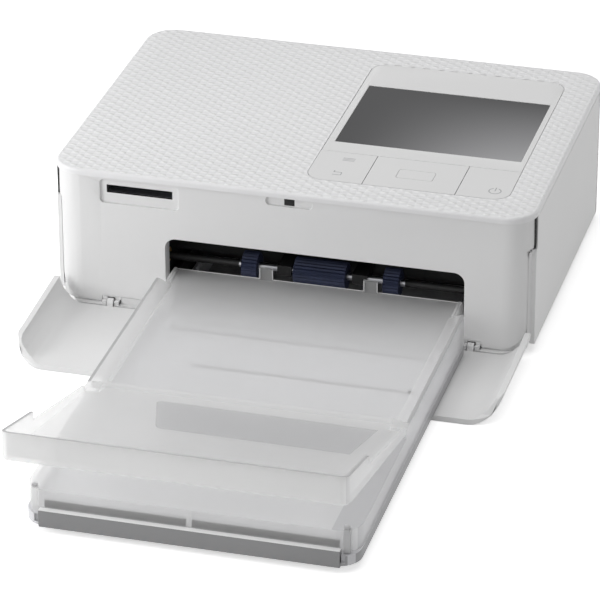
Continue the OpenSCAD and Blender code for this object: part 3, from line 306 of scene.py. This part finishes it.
def display_glass():
    """Display: dark acrylic over an unlit screen, glossy, with a painted reflection that greys it towards the
    front right.
    """
    material, tree, shader, place = plastic("display_glass", "#4A4A4C", 0.12, ior=1.49)
    # its coating takes most of the mirror image off
    shader.inputs["Specular IOR Level"].default_value = 0.18
    split = put(tree, "ShaderNodeSeparateXYZ", [("Vector", place)])
    # a painted reflection: the colour greys from the far left corner to the near right one
    reflection_across = put(tree, "ShaderNodeMapRange", [("Value", split.outputs["X"])], interpolation_type="SMOOTHSTEP",
              From_Min=5 * MM, From_Max=82 * MM)
    reflection_along = put(tree, "ShaderNodeMapRange", [("Value", split.outputs["Y"])],
               From_Min=(CASING_FRONT + 100) * MM, From_Max=(CASING_FRONT + 47) * MM)
    both = math_node(tree, "MULTIPLY_ADD", reflection_across.outputs[0], reflection_along.outputs[0], 0.05)
    mix = put(tree, "ShaderNodeMix", [("Factor", both)], data_type="RGBA")
    mix.inputs["A"].default_value = paint("#262628")
    mix.inputs["B"].default_value = paint("#A0A0A2")
    tree.links.new(mix.outputs["Result"], shader.inputs["Base Color"])
    return material


def zinc_plated_steel():
    """Plates, shafts and motors: zinc-plated steel, bright satin with the drawing lines of the sheet."""
    material, tree, shader, place = plastic("zinc_plated_steel", "#BDBEC2", 0.34, metallic=1.0)
    lines = put(tree, "ShaderNodeMapping", [("Vector", place)])
    lines.inputs["Scale"].default_value = (40, 1500, 1500)
    drawn = put(tree, "ShaderNodeTexNoise", [("Vector", lines.outputs[0])], Scale=1.0, Detail=2.0)
    bump = put(tree, "ShaderNodeBump", [("Height", drawn.outputs["Fac"])], Distance=0.01 * MM, Strength=0.4)
    tree.links.new(bump.outputs["Normal"], shader.inputs["Normal"])
    shade_drift(tree, shader, place, "#C6C7CB", "#B4B5B9", 8)
    return material


def blackened_steel_and_shade():
    """Side plates and the shaft's ends: phosphated steel, painted near black, darker than the real finish, so
    that the mouth stays dark as painted shade.
    """
    material, tree, shader, place = plastic("blackened_steel_and_shade", "#0C0C0D", 0.6)
    shade_drift(tree, shader, place, "#0E0E0F", "#09090A", 8)
    grain(tree, shader, place, 0.4, 0.02, 0.5)
    return material


def acetal():
    """Gears and spools: natural acetal, slippery and slightly waxy."""
    material, tree, shader, place = plastic("acetal", "#E4E2DA", 0.35, ior=1.48)
    shade_drift(tree, shader, place, "#E8E6DF", "#DFDDD4", 6)
    grain(tree, shader, place, 0.6, 0.01, 0.4)
    return material


def turned_brass():
    """Motor pinions and bushings: turned brass."""
    material, tree, shader, place = plastic("turned_brass", "#C9A557", 0.3, metallic=1.0)
    shade_drift(tree, shader, place, "#D0AE60", "#BF9A4C", 2)
    grain(tree, shader, place, 0.2, 0.005, 0.5)
    return material


def extruded_aluminium():
    """Print head's heat sink: extruded aluminium, pale, with a fine grain."""
    material, tree, shader, place = plastic("extruded_aluminium", "#C8CACD", 0.38, metallic=1.0)
    shade_drift(tree, shader, place, "#CFD1D4", "#BFC1C4", 5)
    grain(tree, shader, place, 0.3, 0.01, 0.5)
    return material


def solder_mask_board():
    """Circuit boards: glass epoxy under green solder mask, glossy over its weave."""
    material, tree, shader, place = plastic("solder_mask_board", "#1C5A34", 0.28, ior=1.55)
    weave = put(tree, "ShaderNodeTexBrick", [("Vector", place)], Scale=1 / (9 * MM))
    weave.inputs["Color1"].default_value = paint("#1C5A34")
    weave.inputs["Color2"].default_value = paint("#1F623A")
    weave.inputs["Mortar"].default_value = paint("#2B7347")
    tree.links.new(weave.outputs["Color"], shader.inputs["Base Color"])
    grain(tree, shader, place, 0.5, 0.01, 0.4)
    return material


def polyimide_flex():
    """Display's ribbon: amber polyimide film over copper."""
    material, tree, shader, place = plastic("polyimide_flex", "#C98A2E", 0.25, ior=1.7)
    shade_drift(tree, shader, place, "#D39737", "#BD7E25", 3)
    grain(tree, shader, place, 0.5, 0.01, 0.3)
    return material


def dye_ribbon():
    """Ink cassette's film: a dye-coated polyester web, glossy and deep brown."""
    material, tree, shader, place = plastic("dye_ribbon", "#6B3A2C", 0.2, ior=1.6)
    shade_drift(tree, shader, place, "#7A4433", "#5C3024", 12)
    grain(tree, shader, place, 2.0, 0.02, 0.4)
    return material


def printed_key(name, bars, rings):
    """A key of the panel's ABS, with its plain symbol pad-printed in grey ink on the upper face."""
    material, tree, shader, place = plastic(name, "#E2E2E2", 0.4)
    drift = shade_drift(tree, shader, place, "#E3E3E3", "#DFDFDF", 40)
    grain(tree, shader, place, 0.35, 0.008, 0.4)
    at = put(tree, "ShaderNodeSeparateXYZ", [("Vector", place)])
    shapes = []
    # a bar is its middle and its half sizes, and a ring its middle, its radius and where its gap begins
    for x, y, half_x, half_y in bars:
        inside_x = math_node(tree, "COMPARE", at.outputs["X"], x * MM, half_x * MM)
        inside_y = math_node(tree, "COMPARE", at.outputs["Y"], (y + CASING_FRONT) * MM, half_y * MM)
        shapes.append(math_node(tree, "MULTIPLY", inside_x, inside_y))
    for x, y, radius, gap_y in rings:
        from_x = math_node(tree, "SUBTRACT", at.outputs["X"], x * MM)
        from_y = math_node(tree, "SUBTRACT", at.outputs["Y"], (y + CASING_FRONT) * MM)
        squares = math_node(tree, "ADD", math_node(tree, "MULTIPLY", from_x, from_x),
                            math_node(tree, "MULTIPLY", from_y, from_y))
        line = math_node(tree, "COMPARE", math_node(tree, "SQRT", squares), radius * MM, INK_LINE * MM / 2)
        beside = math_node(tree, "COMPARE", from_x, 0.0, RING_GAP * MM / 2)
        beyond = math_node(tree, "GREATER_THAN", from_y, gap_y * MM)
        gap = math_node(tree, "MULTIPLY", beside, beyond)
        shapes.append(math_node(tree, "MULTIPLY", line, math_node(tree, "SUBTRACT", 1.0, gap)))
    printed = shapes[0]
    for shape in shapes[1:]:
        printed = math_node(tree, "MAXIMUM", printed, shape)
    upper = math_node(tree, "GREATER_THAN", at.outputs["Z"], (CASING_TOP - 0.1) * MM)
    inked = math_node(tree, "MULTIPLY", printed, upper)
    mix = put(tree, "ShaderNodeMix", [("Factor", inked), ("A", drift.outputs["Result"])], data_type="RGBA")
    mix.inputs["B"].default_value = paint("#A9A9AB")
    tree.links.new(mix.outputs["Result"], shader.inputs["Base Color"])
    return material


casing_white = spark_eroded_white_abs()
cover_white = lattice_white_abs()
panel_white = panel_white_abs()
milky = milky_polypropylene()
tray_grey = tray_grey_abs()
bar_grey = bar_grey_abs()
tray_pale = pale_tray_abs()
rim_painted_shade = painted_shade_milky_edge()
thin_clear = clear_milky()
milky_border = shaded_milky()
window_frost = frosted_window()
base_grey = base_grey_abs()
black_abs_and_shade = black_abs()
roller_navy = navy_silicone()
rubber_black = black_rubber()
screen_glass = display_glass()
zinc = zinc_plated_steel()
black_steel_and_shade = blackened_steel_and_shade()
gear_white = acetal()
brass = turned_brass()
sink_alloy = extruded_aluminium()
board_green = solder_mask_board()
flex_amber = polyimide_flex()
film_brown = dye_ribbon()
# three lines for the menu, and an arrow that goes back: two arms, their bend and a head
menu_lines = [(14.6, y, 2.3, 0.2) for y in (34.2, 33.2, 32.2)]
back_arrow = [(13.2, 21.9, 1.6, 0.2), (13.2, 19.7, 1.6, 0.2), (14.8, 20.8, 0.2, 1.1), (11.9, 22.3, 0.25, 0.7)]
menu_key_white = printed_key("printed_menu_key", menu_lines + back_arrow, [])
power_key_white = printed_key("printed_power_key", [(72.5, 22.4, 0.22, 1.5)], [(72.5, 21.0, 2.2, 1.2)])

finish_of_slot = {
    "white_abs": casing_white, "white_keys": panel_white, "grey_abs": base_grey, "tray_grey": tray_grey,
    "clear_lid": milky, "black_abs": black_abs_and_shade, "display_glass": screen_glass, "rubber_navy": roller_navy,
    "rubber_dark": rubber_black, "zinc_steel": zinc, "white_pom": gear_white, "brass_pinion": brass,
    "aluminium_sink": sink_alloy, "green_board": board_green, "amber_flex": flex_amber,
    "ink_sheet": film_brown,
}
slot_of_node = {part["node"]: part["material_slot"] for part in frame["record"]["subparts"]}
nodes_of_body = frame["record"]["behaviour"]["bodies"]
body_of_node = {node: body for body, nodes in nodes_of_body.items() for node in nodes}

for name, node in frame["nodes"].items():
    node.data.materials.clear()
    node.data.materials.append(finish_of_slot[slot_of_node[name]])
frame["nodes"]["menu_key"].data.materials[0] = menu_key_white
frame["nodes"]["power_key"].data.materials[0] = power_key_white
# the plates in the near-black steel: painted shade in the mouth
for name in ("left_plate", "right_plate", "gearbox_plate"):
    frame["nodes"][name].data.materials[0] = black_steel_and_shade


# Pieces from the mouldings

def moulding_of(node_name):
    """A merged copy of a CAD node's mesh, with the flat faces joined up again."""
    bm = bmesh.new()
    bm.from_mesh(frame["nodes"][node_name].data)
    bmesh.ops.remove_doubles(bm, verts=bm.verts, dist=0.002 * MM)
    bmesh.ops.dissolve_limit(bm, angle_limit=math.radians(0.4), verts=bm.verts, edges=bm.edges)
    return bm


def real_edges(bm, test):
    """The edges where two faces meet sharply and whose middle passes the test."""
    found = []
    for edge in bm.edges:
        if len(edge.link_faces) == 2 and edge.calc_face_angle(0) > REAL_EDGE:
            if test((edge.verts[0].co + edge.verts[1].co) / 2 / MM):
                found.append(edge)
    return found


def round_off(bm, edges, radius_mm, segments):
    """Rounds those edges in that many steps."""
    bmesh.ops.bevel(bm, geom=edges, offset=radius_mm * MM, offset_type="OFFSET", affect="EDGES",
                    segments=segments, profile=0.5, material=-1, clamp_overlap=True)


def linked_piece(bm, name, materials, edge_mm, clamped):
    """Turns the mesh into an object in the scene, and softens its sharp edges by that width."""
    mesh = bpy.data.meshes.new(name)
    bm.to_mesh(mesh)
    bm.free()
    for material in materials if isinstance(materials, list) else [materials]:
        mesh.materials.append(material)
    mesh.shade_smooth()
    mesh.set_sharp_from_angle(angle=REAL_EDGE)
    piece = bpy.data.objects.new(name, mesh)
    bpy.context.scene.collection.objects.link(piece)
    if edge_mm:
        soften = piece.modifiers.new("moulded_edges", "BEVEL")
        soften.width = edge_mm * MM
        soften.segments = 2
        soften.limit_method = "ANGLE"
        soften.angle_limit = REAL_EDGE
        soften.use_clamp_overlap = clamped
        soften.harden_normals = True
    return piece


def finish_piece(bm, name, node_name, materials, edge_mm=0.0):
    """Makes the object and lets it stand for its CAD node."""
    piece = linked_piece(bm, name, materials, edge_mm, clamped=False)
    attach(piece, body_of_node[node_name])
    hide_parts(node_name)


def added_piece(bm, name, body, materials, edge_mm=0.0):
    """A small piece that no CAD node stands for: it rides with a body."""
    piece = linked_piece(bm, name, materials, edge_mm, clamped=True)
    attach(piece, body)


def slab(bm, low, high, index=0):
    """A box between two corners in millimetres."""
    made = bmesh.ops.create_cube(bm, size=1)["verts"]
    size = [b - a for a, b in zip(low, high)]
    middle = [(a + b) / 2 for a, b in zip(low, high)]
    bmesh.ops.scale(bm, verts=made, vec=Vector(size) * MM)
    bmesh.ops.translate(bm, verts=made, vec=Vector(middle) * MM)
    for face in {face for vert in made for face in vert.link_faces}:
        face.material_index = index


def split_by_plane(bm, place_mm, normal):
    """Cuts the mesh's faces along a plane, so that a finish can change there."""
    bmesh.ops.bisect_plane(bm, geom=bm.verts[:] + bm.edges[:] + bm.faces[:], dist=0.002 * MM,
                           plane_co=Vector(place_mm) * MM, plane_no=normal)


def soften_moulding(node_name, name, material, edge_mm):
    """The node's own shape in one material, with its edges softened."""
    finish_piece(moulding_of(node_name), name, node_name, material, edge_mm)


def top_cover_piece():
    """The cover, whose outer rim is rounded more than the edge around the control panel."""
    bm = moulding_of("top_cover")
    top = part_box("top_cover")[1].z / MM
    # the panel's opening, across and behind the casing's front
    left, right, near, far = 1, 80, 12, 122

    def on_rim(middle):
        by_panel = left < middle.x < right and CASING_FRONT + near < middle.y < CASING_FRONT + far
        return middle.z > top - 0.05 and not by_panel

    round_off(bm, real_edges(bm, on_rim), 1.0, 4)
    finish_piece(bm, "cover_moulding", "top_cover", cover_white, 0.18)


top_cover_piece()
soften_moulding("left_shell", "left_moulding", casing_white, 0.25)
soften_moulding("rear_cover", "rear_moulding", casing_white, 0.25)
soften_moulding("cassette_door", "door_moulding", casing_white, 0.14)
soften_moulding("ink_door", "ink_door_moulding", casing_white, 0.25)
soften_moulding("control_panel", "panel_moulding", panel_white, 0.15)


def lower_case_piece():
    """The pan is grey, and its four brackets for the front door are white like the casing."""
    bm = moulding_of("lower_case")
    bracket_rear = CASING_FRONT + 6.1
    split_by_plane(bm, (0, bracket_rear, 0), (0, 1, 0))
    for face in bm.faces:
        middle = face.calc_center_median() / MM
        if middle.z > 0.9 and middle.y < bracket_rear:
            face.material_index = 1
    finish_piece(bm, "pan_moulding", "lower_case", [base_grey, casing_white], 0.2)


lower_case_piece()


def cassette_tray_piece():
    """The tray's walls are grey, its floor and left corner pale, and its front bar a darker grey, with the
    bar's upper face painted white as a highlight.
    """
    bm = moulding_of("cassette_tray")
    low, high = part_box("cassette_tray")
    front = low.y / MM
    # the bar's middle and half length, how far it and the pale corner reach back, and the tray's wall
    bar_x, bar_half = 9.2, 52.55
    bar_rear = front + 2.6
    corner_rear = front + 10
    wall = 1
    for x in (bar_x - bar_half, bar_x + bar_half):
        split_by_plane(bm, (x, 0, 0), (1, 0, 0))
    split_by_plane(bm, (0, corner_rear, 0), (0, 1, 0))
    for face in bm.faces:
        middle = face.calc_center_median() / MM
        if middle.y < bar_rear and abs(middle.x - bar_x) < bar_half + 0.05:
            # the bar's upper face is white: a painted highlight on its top edge
            face.material_index = 3 if face.normal.z > 0.9 else 2
        elif middle.y < corner_rear and middle.x < bar_x - bar_half + 0.55:
            face.material_index = 1
        elif low.x / MM + wall < middle.x < high.x / MM - wall and middle.y > front + wall:
            face.material_index = 1
    finish_piece(bm, "tray_moulding", "cassette_tray", [tray_grey, tray_pale, bar_grey, casing_white], 0.2)


def feed_shaft_piece():
    """The shaft is blackened and painted near black as the mouth's shade, and bright only in the short
    lengths beside its rollers.
    """
    bm = moulding_of("feed_shaft")
    # the ends of each bright length, from left to right
    bright = ((-22.5, -20.8), (-14.9, -7.4), (-2.1, -0.9), (18.9, 21.2), (26.7, 33.3), (39.2, 41.0))
    for ends in bright:
        for x in ends:
            split_by_plane(bm, (x, 0, 0), (1, 0, 0))
    for face in bm.faces:
        x = face.calc_center_median().x / MM
        face.material_index = 0 if any(a < x < b for a, b in bright) else 1
    finish_piece(bm, "feed_shaft_turned", "feed_shaft", [zinc, black_steel_and_shade])


def front_shell_piece():
    """The front moulding, with the card slot's own faces painted black: painted shade inside the slot, as
    dark as the reader behind them.
    """
    bm = moulding_of("front_shell")
    # half the slot's width and height, and the shell's wall in front of it
    half_x, half_z, wall = 12.7, 1.6, 2.4
    for face in bm.faces:
        middle = face.calc_center_median() / MM
        slot_painted_shade = abs(middle.x - SLOT_X) < half_x and abs(middle.z - SLOT_Z) < half_z
        if slot_painted_shade and middle.y > CASING_FRONT + wall and abs(face.normal.y) < 0.5:
            face.material_index = 1
    finish_piece(bm, "front_moulding", "front_shell", [casing_white, black_abs_and_shade], 0.25)


def inner_lid_piece():
    """The inner lid: painted shade on the rims of its rails and on its right wall and border, and clear stop
    tabs.
    """
    bm = moulding_of("cassette_inner_lid")
    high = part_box("cassette_inner_lid")[1] / MM
    # where the border beside the deck begins, and how far back it goes
    border, border_rear = high.x - 9.4, -70
    # just below the upper faces of the deck and the rails, and the foot of the tabs at the rear
    deck, rails, tabs = 14.9, 18.7, 16.7
    split_by_plane(bm, (border, 0, 0), (1, 0, 0))
    # the rails' upper faces get the darker rim grey, and the right wall and border the shaded grey: painted
    # shade
    for face in bm.faces:
        middle = face.calc_center_median() / MM
        faces_up = face.normal.z > 0.9
        if faces_up and middle.z > rails:
            face.material_index = 1
        elif face.normal.x > 0.7 and middle.x > high.x - 1.5:
            face.material_index = 2
        elif faces_up and middle.z > deck and middle.x > border and middle.y < border_rear:
            face.material_index = 2
        elif middle.y > CASING_FRONT + 7.9 and middle.z > tabs:
            face.material_index = 3
    finish_piece(bm, "inner_lid_moulding", "cassette_inner_lid",
                 [milky, rim_painted_shade, milky_border, thin_clear], 0.2)


def lid_outline():
    """The bright line where the inner lid's rear edge and its stop tabs catch the light."""
    bm = bmesh.new()
    rear = CASING_FRONT + 8.9
    line = 0.35
    # the edge runs at the lower height between the two tabs and beside them, and the tabs rise from it
    for x0, x1 in ((-45.4, -13.3), (-8.1, 26.5), (31.8, 63.8)):
        slab(bm, (x0, rear, 16.55), (x1, rear + line, 16.75))
    for x0, x1 in ((-13.3, -8.1), (26.5, 31.8)):
        slab(bm, (x0, rear, 21.15), (x1, rear + line, 21.35))
        for x in (x0 - 0.02, x1 - line + 0.02):
            slab(bm, (x, rear, 16.6), (x + line, rear + line, 21.3))
    added_piece(bm, "lid_outline", body_of_node["cassette_inner_lid"], casing_white)


def deck_rib():
    """A low rib under the inner lid's deck in the darker rim grey, so that it shows through as a soft line of
    painted shade, and a small black block at its right end.
    """
    body = body_of_node["cassette_inner_lid"]
    bm = bmesh.new()
    slab(bm, (-20.0, CASING_FRONT - 57.2, 13.1), (59.0, CASING_FRONT - 55.8, 13.7))
    added_piece(bm, "deck_rib", body, rim_painted_shade)
    bm = bmesh.new()
    slab(bm, (59.4, CASING_FRONT - 57.2, 13.0), (61.4, CASING_FRONT - 55.6, 13.8))
    added_piece(bm, "deck_rib_dark_block", body, rubber_black, 0.2)


def outer_lid_piece():
    """The outer lid: wider towards its front left corner, and its lip is rounded below."""
    bm = moulding_of("cassette_outer_lid")
    low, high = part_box("cassette_outer_lid")
    reach = (high.y - low.y) / MM
    # how far in front of its rear edge the left wall begins to spread, and how far it spreads
    straight, spread = 7, 2.3
    for vert in bm.verts:
        at = vert.co / MM
        if at.x < -30:
            share = max(0, (high.y / MM - straight - at.y) / (reach - straight))
            vert.co.x -= spread * share * share * MM
    under_lip = real_edges(bm, lambda middle: middle.y < low.y / MM + 4 and 30 < middle.z < 36)
    round_off(bm, under_lip, 0.9, 3)
    # the upper faces of the lip and rims get the darker rim grey, and the right wall the shaded grey: painted
    # shade
    for face in bm.faces:
        middle = face.calc_center_median()
        if face.normal.z > 0.9 and middle.z > 40 * MM:
            face.material_index = 1
        elif face.normal.x > 0.7 and middle.x > high.x - 1.5 * MM:
            face.material_index = 2
    finish_piece(bm, "outer_lid_moulding", "cassette_outer_lid", [milky, rim_painted_shade, milky_border], 0.2)


def lip_ribs():
    """Three stiffening ribs behind the outer lid's lip, standing just proud of it."""
    bm = bmesh.new()
    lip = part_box("cassette_outer_lid")[0].y / MM
    for x, width in ((-32.0, 0.6), (43.4, 0.7), (50.6, 0.6)):
        slab(bm, (x, lip + 1.1, 35.2), (x + width, lip + 3.2, 43.3))
    added_piece(bm, "lip_ribs", body_of_node["cassette_outer_lid"], milky, 0.1)


def deck_front_parts():
    """What the milky front wall shows: a black strip behind it, which paints the dark band of the grey tray
    seen through the wall in shade, a rib, and a locating post at each end, the right post and the caps in the
    darker rim grey as painted shade.
    """
    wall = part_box("cassette_inner_lid")[0].y / MM
    body = body_of_node["cassette_inner_lid"]
    bm = bmesh.new()
    # a black strip: painted shade of the tray seen through the wall
    slab(bm, (-41.8, wall + 0.3, 8.4), (8.0, wall + 0.5, 11.2))
    slab(bm, (10.0, wall + 0.3, 8.4), (61.0, wall + 0.5, 11.2))
    added_piece(bm, "deck_front_shade_strip", body, rubber_black)
    bm = bmesh.new()
    slab(bm, (8.0, wall - 0.05, 8.5), (9.9, wall + 1.3, 14.6), 2)
    # the right post and the caps get the darker rim grey: painted shade
    for x, index in ((-46.4, 2), (62.3, 1)):
        slab(bm, (x, wall - 0.05, 6.5), (x + 2.3, wall + 1.9, 15.6), index)
        slab(bm, (x + 0.2, wall + 0.2, 15.6), (x + 2.0, wall + 1.6, 16.8), 1)
    added_piece(bm, "deck_posts", body, [casing_white, rim_painted_shade, milky], 0.2)


def lid_window():
    """The etched window in the outer lid's floor: rounded at its left end, square at its right."""
    bm = bmesh.new()
    # corners on the lid's floor: near left, near right, far left and far right
    near_left, near_right = Vector((-21.6, -93.5)), Vector((58.3, -94.8))
    far_left, far_right = Vector((-13.0, -122.5)), Vector((55.7, -123.5))
    points = []
    # the rounding of the left corners, as a share of the window's length and width
    long_r, wide_r = 0.03, 0.1
    for middle, first in ((1 - wide_r, 90), (wide_r, 180)):
        for step in range(5):
            turn = math.radians(first + step * 22.5)
            points.append((long_r + long_r * math.cos(turn), middle + wide_r * math.sin(turn)))
    points += [(1, 0), (1, 1)]
    corners = []
    for along, across in points:
        x, y = near_left.lerp(near_right, along).lerp(far_left.lerp(far_right, along), across)
        height = LID_PIVOT_Z - 1 + (-LID_PIVOT_Y - y) * math.tan(LID_TILT) + LID_WALL + 0.02
        corners.append(bm.verts.new(Vector((x, y + CASING_FRONT, height)) * MM))
    floor = bm.faces.new(corners)
    raised = bmesh.ops.extrude_face_region(bm, geom=[floor])["geom"]
    moved = [item for item in raised if isinstance(item, bmesh.types.BMVert)]
    bmesh.ops.translate(bm, verts=moved, vec=Vector((0, 0, 0.08)) * MM)
    bmesh.ops.recalc_face_normals(bm, faces=bm.faces[:])
    added_piece(bm, "lid_window", body_of_node["cassette_outer_lid"], window_frost)


def prism(bm, outline, axis, low, high):
    """A flat outline in millimetres, pushed along x or z between two places."""
    def at(pair, depth):
        return Vector((depth, *pair)) if axis == "x" else Vector((*pair, depth))

    base = bm.faces.new([bm.verts.new(at(pair, low) * MM) for pair in outline])
    raised = bmesh.ops.extrude_face_region(bm, geom=[base])["geom"]
    moved = [item for item in raised if isinstance(item, bmesh.types.BMVert)]
    bmesh.ops.translate(bm, verts=moved, vec=(at((0, 0), high) - at((0, 0), low)) * MM)
    made = {face for vert in moved for face in vert.link_faces}
    bmesh.ops.recalc_face_normals(bm, faces=list(made | {base}))


def front_fillers():
    """White inserts that close the front moulding's seams beside and below its rounded corners."""
    bm = bmesh.new()
    # where the lower corner's rounding begins, and the width of a step along it
    corner_x, width = 79.3, 0.72
    for side in (-1, 1):
        corner = [(88.78, 6.3), (89.4, 8.46), (89.4, 8.49), (88.78, 8.49)]
        prism(bm, [(side * x, y + CASING_FRONT) for x, y in corner], "z", 6.0, 41.4)
        low, high = sorted((side * 88.78, side * 89.15))
        slab(bm, (low, CASING_FRONT + 8.49, 4.5), (high, CASING_FRONT + 12.0, 41.0))
        # below the rounded lower corner, in steps that the seam hides
        for step in range(13):
            x = corner_x + step * width
            end = x + width
            above = 12.5 - math.sqrt(max(0, 9.3 ** 2 - (end - corner_x) ** 2)) + 0.4
            before = 13.8 - math.sqrt(11.0 ** 2 - max(0, end - 80.1) ** 2)
            low, high = sorted((side * x, side * end))
            slab(bm, (low, CASING_FRONT + before, 2.45), (high, CASING_FRONT + 8.3, above))
        # beside the front door's brackets, and above its hinge pin
        for x0, x1, y, top in ((72.8, 79.3, 2.9, 3.5), (65.95, 72.8, 5.3, 5.5)):
            low, high = sorted((side * x0, side * x1))
            slab(bm, (low, CASING_FRONT + y, 2.45), (high, CASING_FRONT + y + 0.9, top))
        for x0, x1, low_z in ((65.3, 67.45, 3.95), (67.45, 70.55, 4.88), (70.55, 72.5, 3.95)):
            low, high = sorted((side * x0, side * x1))
            slab(bm, (low, CASING_FRONT + 2.4, low_z), (high, CASING_FRONT + 6.2, 5.16))
    # below the mouth's left end
    slab(bm, (-65.2, CASING_FRONT + 2.4, 2.45), (-48.2, CASING_FRONT + 3.4, 5.1))
    added_piece(bm, "front_fillers", body_of_node["front_shell"], casing_white)


def mouth_and_catch():
    """The mouth's left cheek, and a black slab behind the catch hole: painted shade inside the hole."""
    bm = bmesh.new()
    slab(bm, (-48.9, CASING_FRONT + 4.25, 5.4), (-47.5, CASING_FRONT + 7.6, MOUTH_TOP - 2.5))
    added_piece(bm, "mouth_cheek", body_of_node["front_shell"], casing_white, 0.2)
    bm = bmesh.new()
    slab(bm, (-1.95, CASING_FRONT + 3.08, 51.1), (1.95, CASING_FRONT + 3.6, 54.0))
    added_piece(bm, "catch_hole_shade", body_of_node["front_shell"], black_abs_and_shade)


def corner_gaps():
    """Beside each upper front corner: the side panel's flange, and a black strip in the gap in front of it:
    painted shade in the gap.
    """
    # both as outlines of depth behind the casing's front and height
    flange = [(10.1, 55.2), (12.9, 55.2), (12.9, 43.0), (8.6, 41.3), (8.55, 41.8), (9.7, 42.1), (10.1, 43.6)]
    gap = [(8.5, 55.4), (10.12, 55.4), (10.12, 44.6), (9.4, 43.1), (8.7, 42.6), (8.55, 43.0), (8.7, 44.4)]
    for side in (-1, 1):
        name = "left" if side < 0 else "right"
        bm = bmesh.new()
        prism(bm, [(y + CASING_FRONT, z) for y, z in flange], "x", side * 90.2, side * 91.07)
        low, high = sorted((side * 89.2, side * 91.05))
        slab(bm, (low, CASING_FRONT + 8.56, 41.5), (high, CASING_FRONT + 10.4, 42.2))
        added_piece(bm, "panel_flange_" + name, body_of_node["front_shell"], casing_white)
        bm = bmesh.new()
        prism(bm, [(y + CASING_FRONT, z) for y, z in gap], "x", side * 89.6, side * 90.75)
        added_piece(bm, "gap_shade_strip_" + name, body_of_node["front_shell"], black_abs_and_shade)


cassette_tray_piece()
feed_shaft_piece()
front_shell_piece()
inner_lid_piece()
lid_outline()
deck_rib()
outer_lid_piece()
lip_ribs()
deck_front_parts()
lid_window()
front_fillers()
mouth_and_catch()
corner_gaps()


# Camera, floor and light

def camera():
    """A long lens from the front right, turned, tipped and rolled until it saw what the photograph shows."""
    data = bpy.data.cameras.new("product_camera")
    data.lens = 236.2
    data.sensor_width = 36
    data.clip_end = 20
    eye = bpy.data.objects.new("product_camera", data)
    place = Matrix.Translation(Vector((344.058, CASING_FRONT - 1238.766, 680.720)) * MM)
    around = Matrix.Rotation(math.radians(15.31933), 4, "Z")
    tipped = Matrix.Rotation(math.radians(62.58663), 4, "X")
    rolled = Matrix.Rotation(math.radians(-0.20034), 4, "Z")
    eye.matrix_world = place @ around @ tipped @ rolled
    bpy.context.scene.collection.objects.link(eye)
    bpy.context.scene.camera = eye


def seeing_rays(tree):
    """1 for rays from the camera, off a gloss or through glass, and 0 for light that falls on things."""
    ray = put(tree, "ShaderNodeLightPath").outputs
    seen_or_gloss = math_node(tree, "ADD", ray["Is Camera Ray"], ray["Is Glossy Ray"])
    seen = put(tree, "ShaderNodeMath", [(0, seen_or_gloss), (1, ray["Is Transmission Ray"])],
               operation="ADD", use_clamp=True)
    return seen.outputs[0]


def studio_floor():
    """A wide sheet of white paper: pure white to the eye, and still darkened under the object."""
    bm = bmesh.new()
    bmesh.ops.create_grid(bm, x_segments=1, y_segments=1, size=6)
    mesh = bpy.data.meshes.new("studio_floor")
    bm.to_mesh(mesh)
    bm.free()
    floor = bpy.data.objects.new("studio_floor", mesh)
    bpy.context.scene.collection.objects.link(floor)
    material = bpy.data.materials.new("white_paper")
    material.use_nodes = True
    tree = material.node_tree
    tree.nodes.clear()
    place = put(tree, "ShaderNodeTexCoord").outputs["Object"]
    fibre = put(tree, "ShaderNodeTexNoise", [("Vector", place)], Scale=900.0)
    bump = put(tree, "ShaderNodeBump", [("Height", fibre.outputs["Fac"])], Distance=0.02 * MM, Strength=0.2)
    paper = put(tree, "ShaderNodeBsdfDiffuse", [("Normal", bump.outputs["Normal"])])
    paper.inputs["Color"].default_value = paint("#F0F0F0")
    glow = put(tree, "ShaderNodeEmission", Strength=0.55)
    lit = put(tree, "ShaderNodeAddShader", [(0, paper.outputs[0]), (1, glow.outputs[0])])
    mix = put(tree, "ShaderNodeMixShader", [("Fac", seeing_rays(tree)), (1, paper.outputs[0]),
                                            (2, lit.outputs[0])])
    put(tree, "ShaderNodeOutputMaterial", [("Surface", mix.outputs[0])])
    mesh.materials.append(material)


def soft_box(name, place, aim, size, power):
    """A square lamp at a place in metres, turned to its aim."""
    data = bpy.data.lights.new(name, "AREA")
    data.shape = "RECTANGLE"
    data.size = size
    data.size_y = size
    data.energy = power
    lamp = bpy.data.objects.new(name, data)
    lamp.location = place
    lamp.rotation_euler = (Vector(aim) - Vector(place)).to_track_quat("-Z", "Y").to_euler()
    bpy.context.scene.collection.objects.link(lamp)


def studio_light():
    """A white room, dimmer as a light than it looks, with a lamp and a pale wall on the left."""
    world = bpy.data.worlds.new("studio")
    bpy.context.scene.world = world
    world.use_nodes = True
    tree = world.node_tree
    tree.nodes.clear()
    white = put(tree, "ShaderNodeBackground", Strength=1.0, Color=(1, 1, 1, 1))
    room = put(tree, "ShaderNodeBackground", Strength=0.36, Color=(1, 1, 1, 1))
    mix = put(tree, "ShaderNodeMixShader", [("Fac", seeing_rays(tree)), (1, room.outputs[0]),
                                            (2, white.outputs[0])])
    put(tree, "ShaderNodeOutputWorld", [("Surface", mix.outputs[0])])
    soft_box("key_from_left", (-0.52, -0.28, 0.2), (0, 0, 0.03), 0.32, 1.8)
    soft_box("sky_panel", (0, 0.3, 2.2), (0, 0, 0), 2.0, 19)
    soft_box("wall_on_left", (-1.6, -0.35, 0.7), (0, 0, 0.03), 1.2, 4.5)


camera()
studio_floor()
studio_light()
bpy.context.scene.view_settings.view_transform = "Standard"
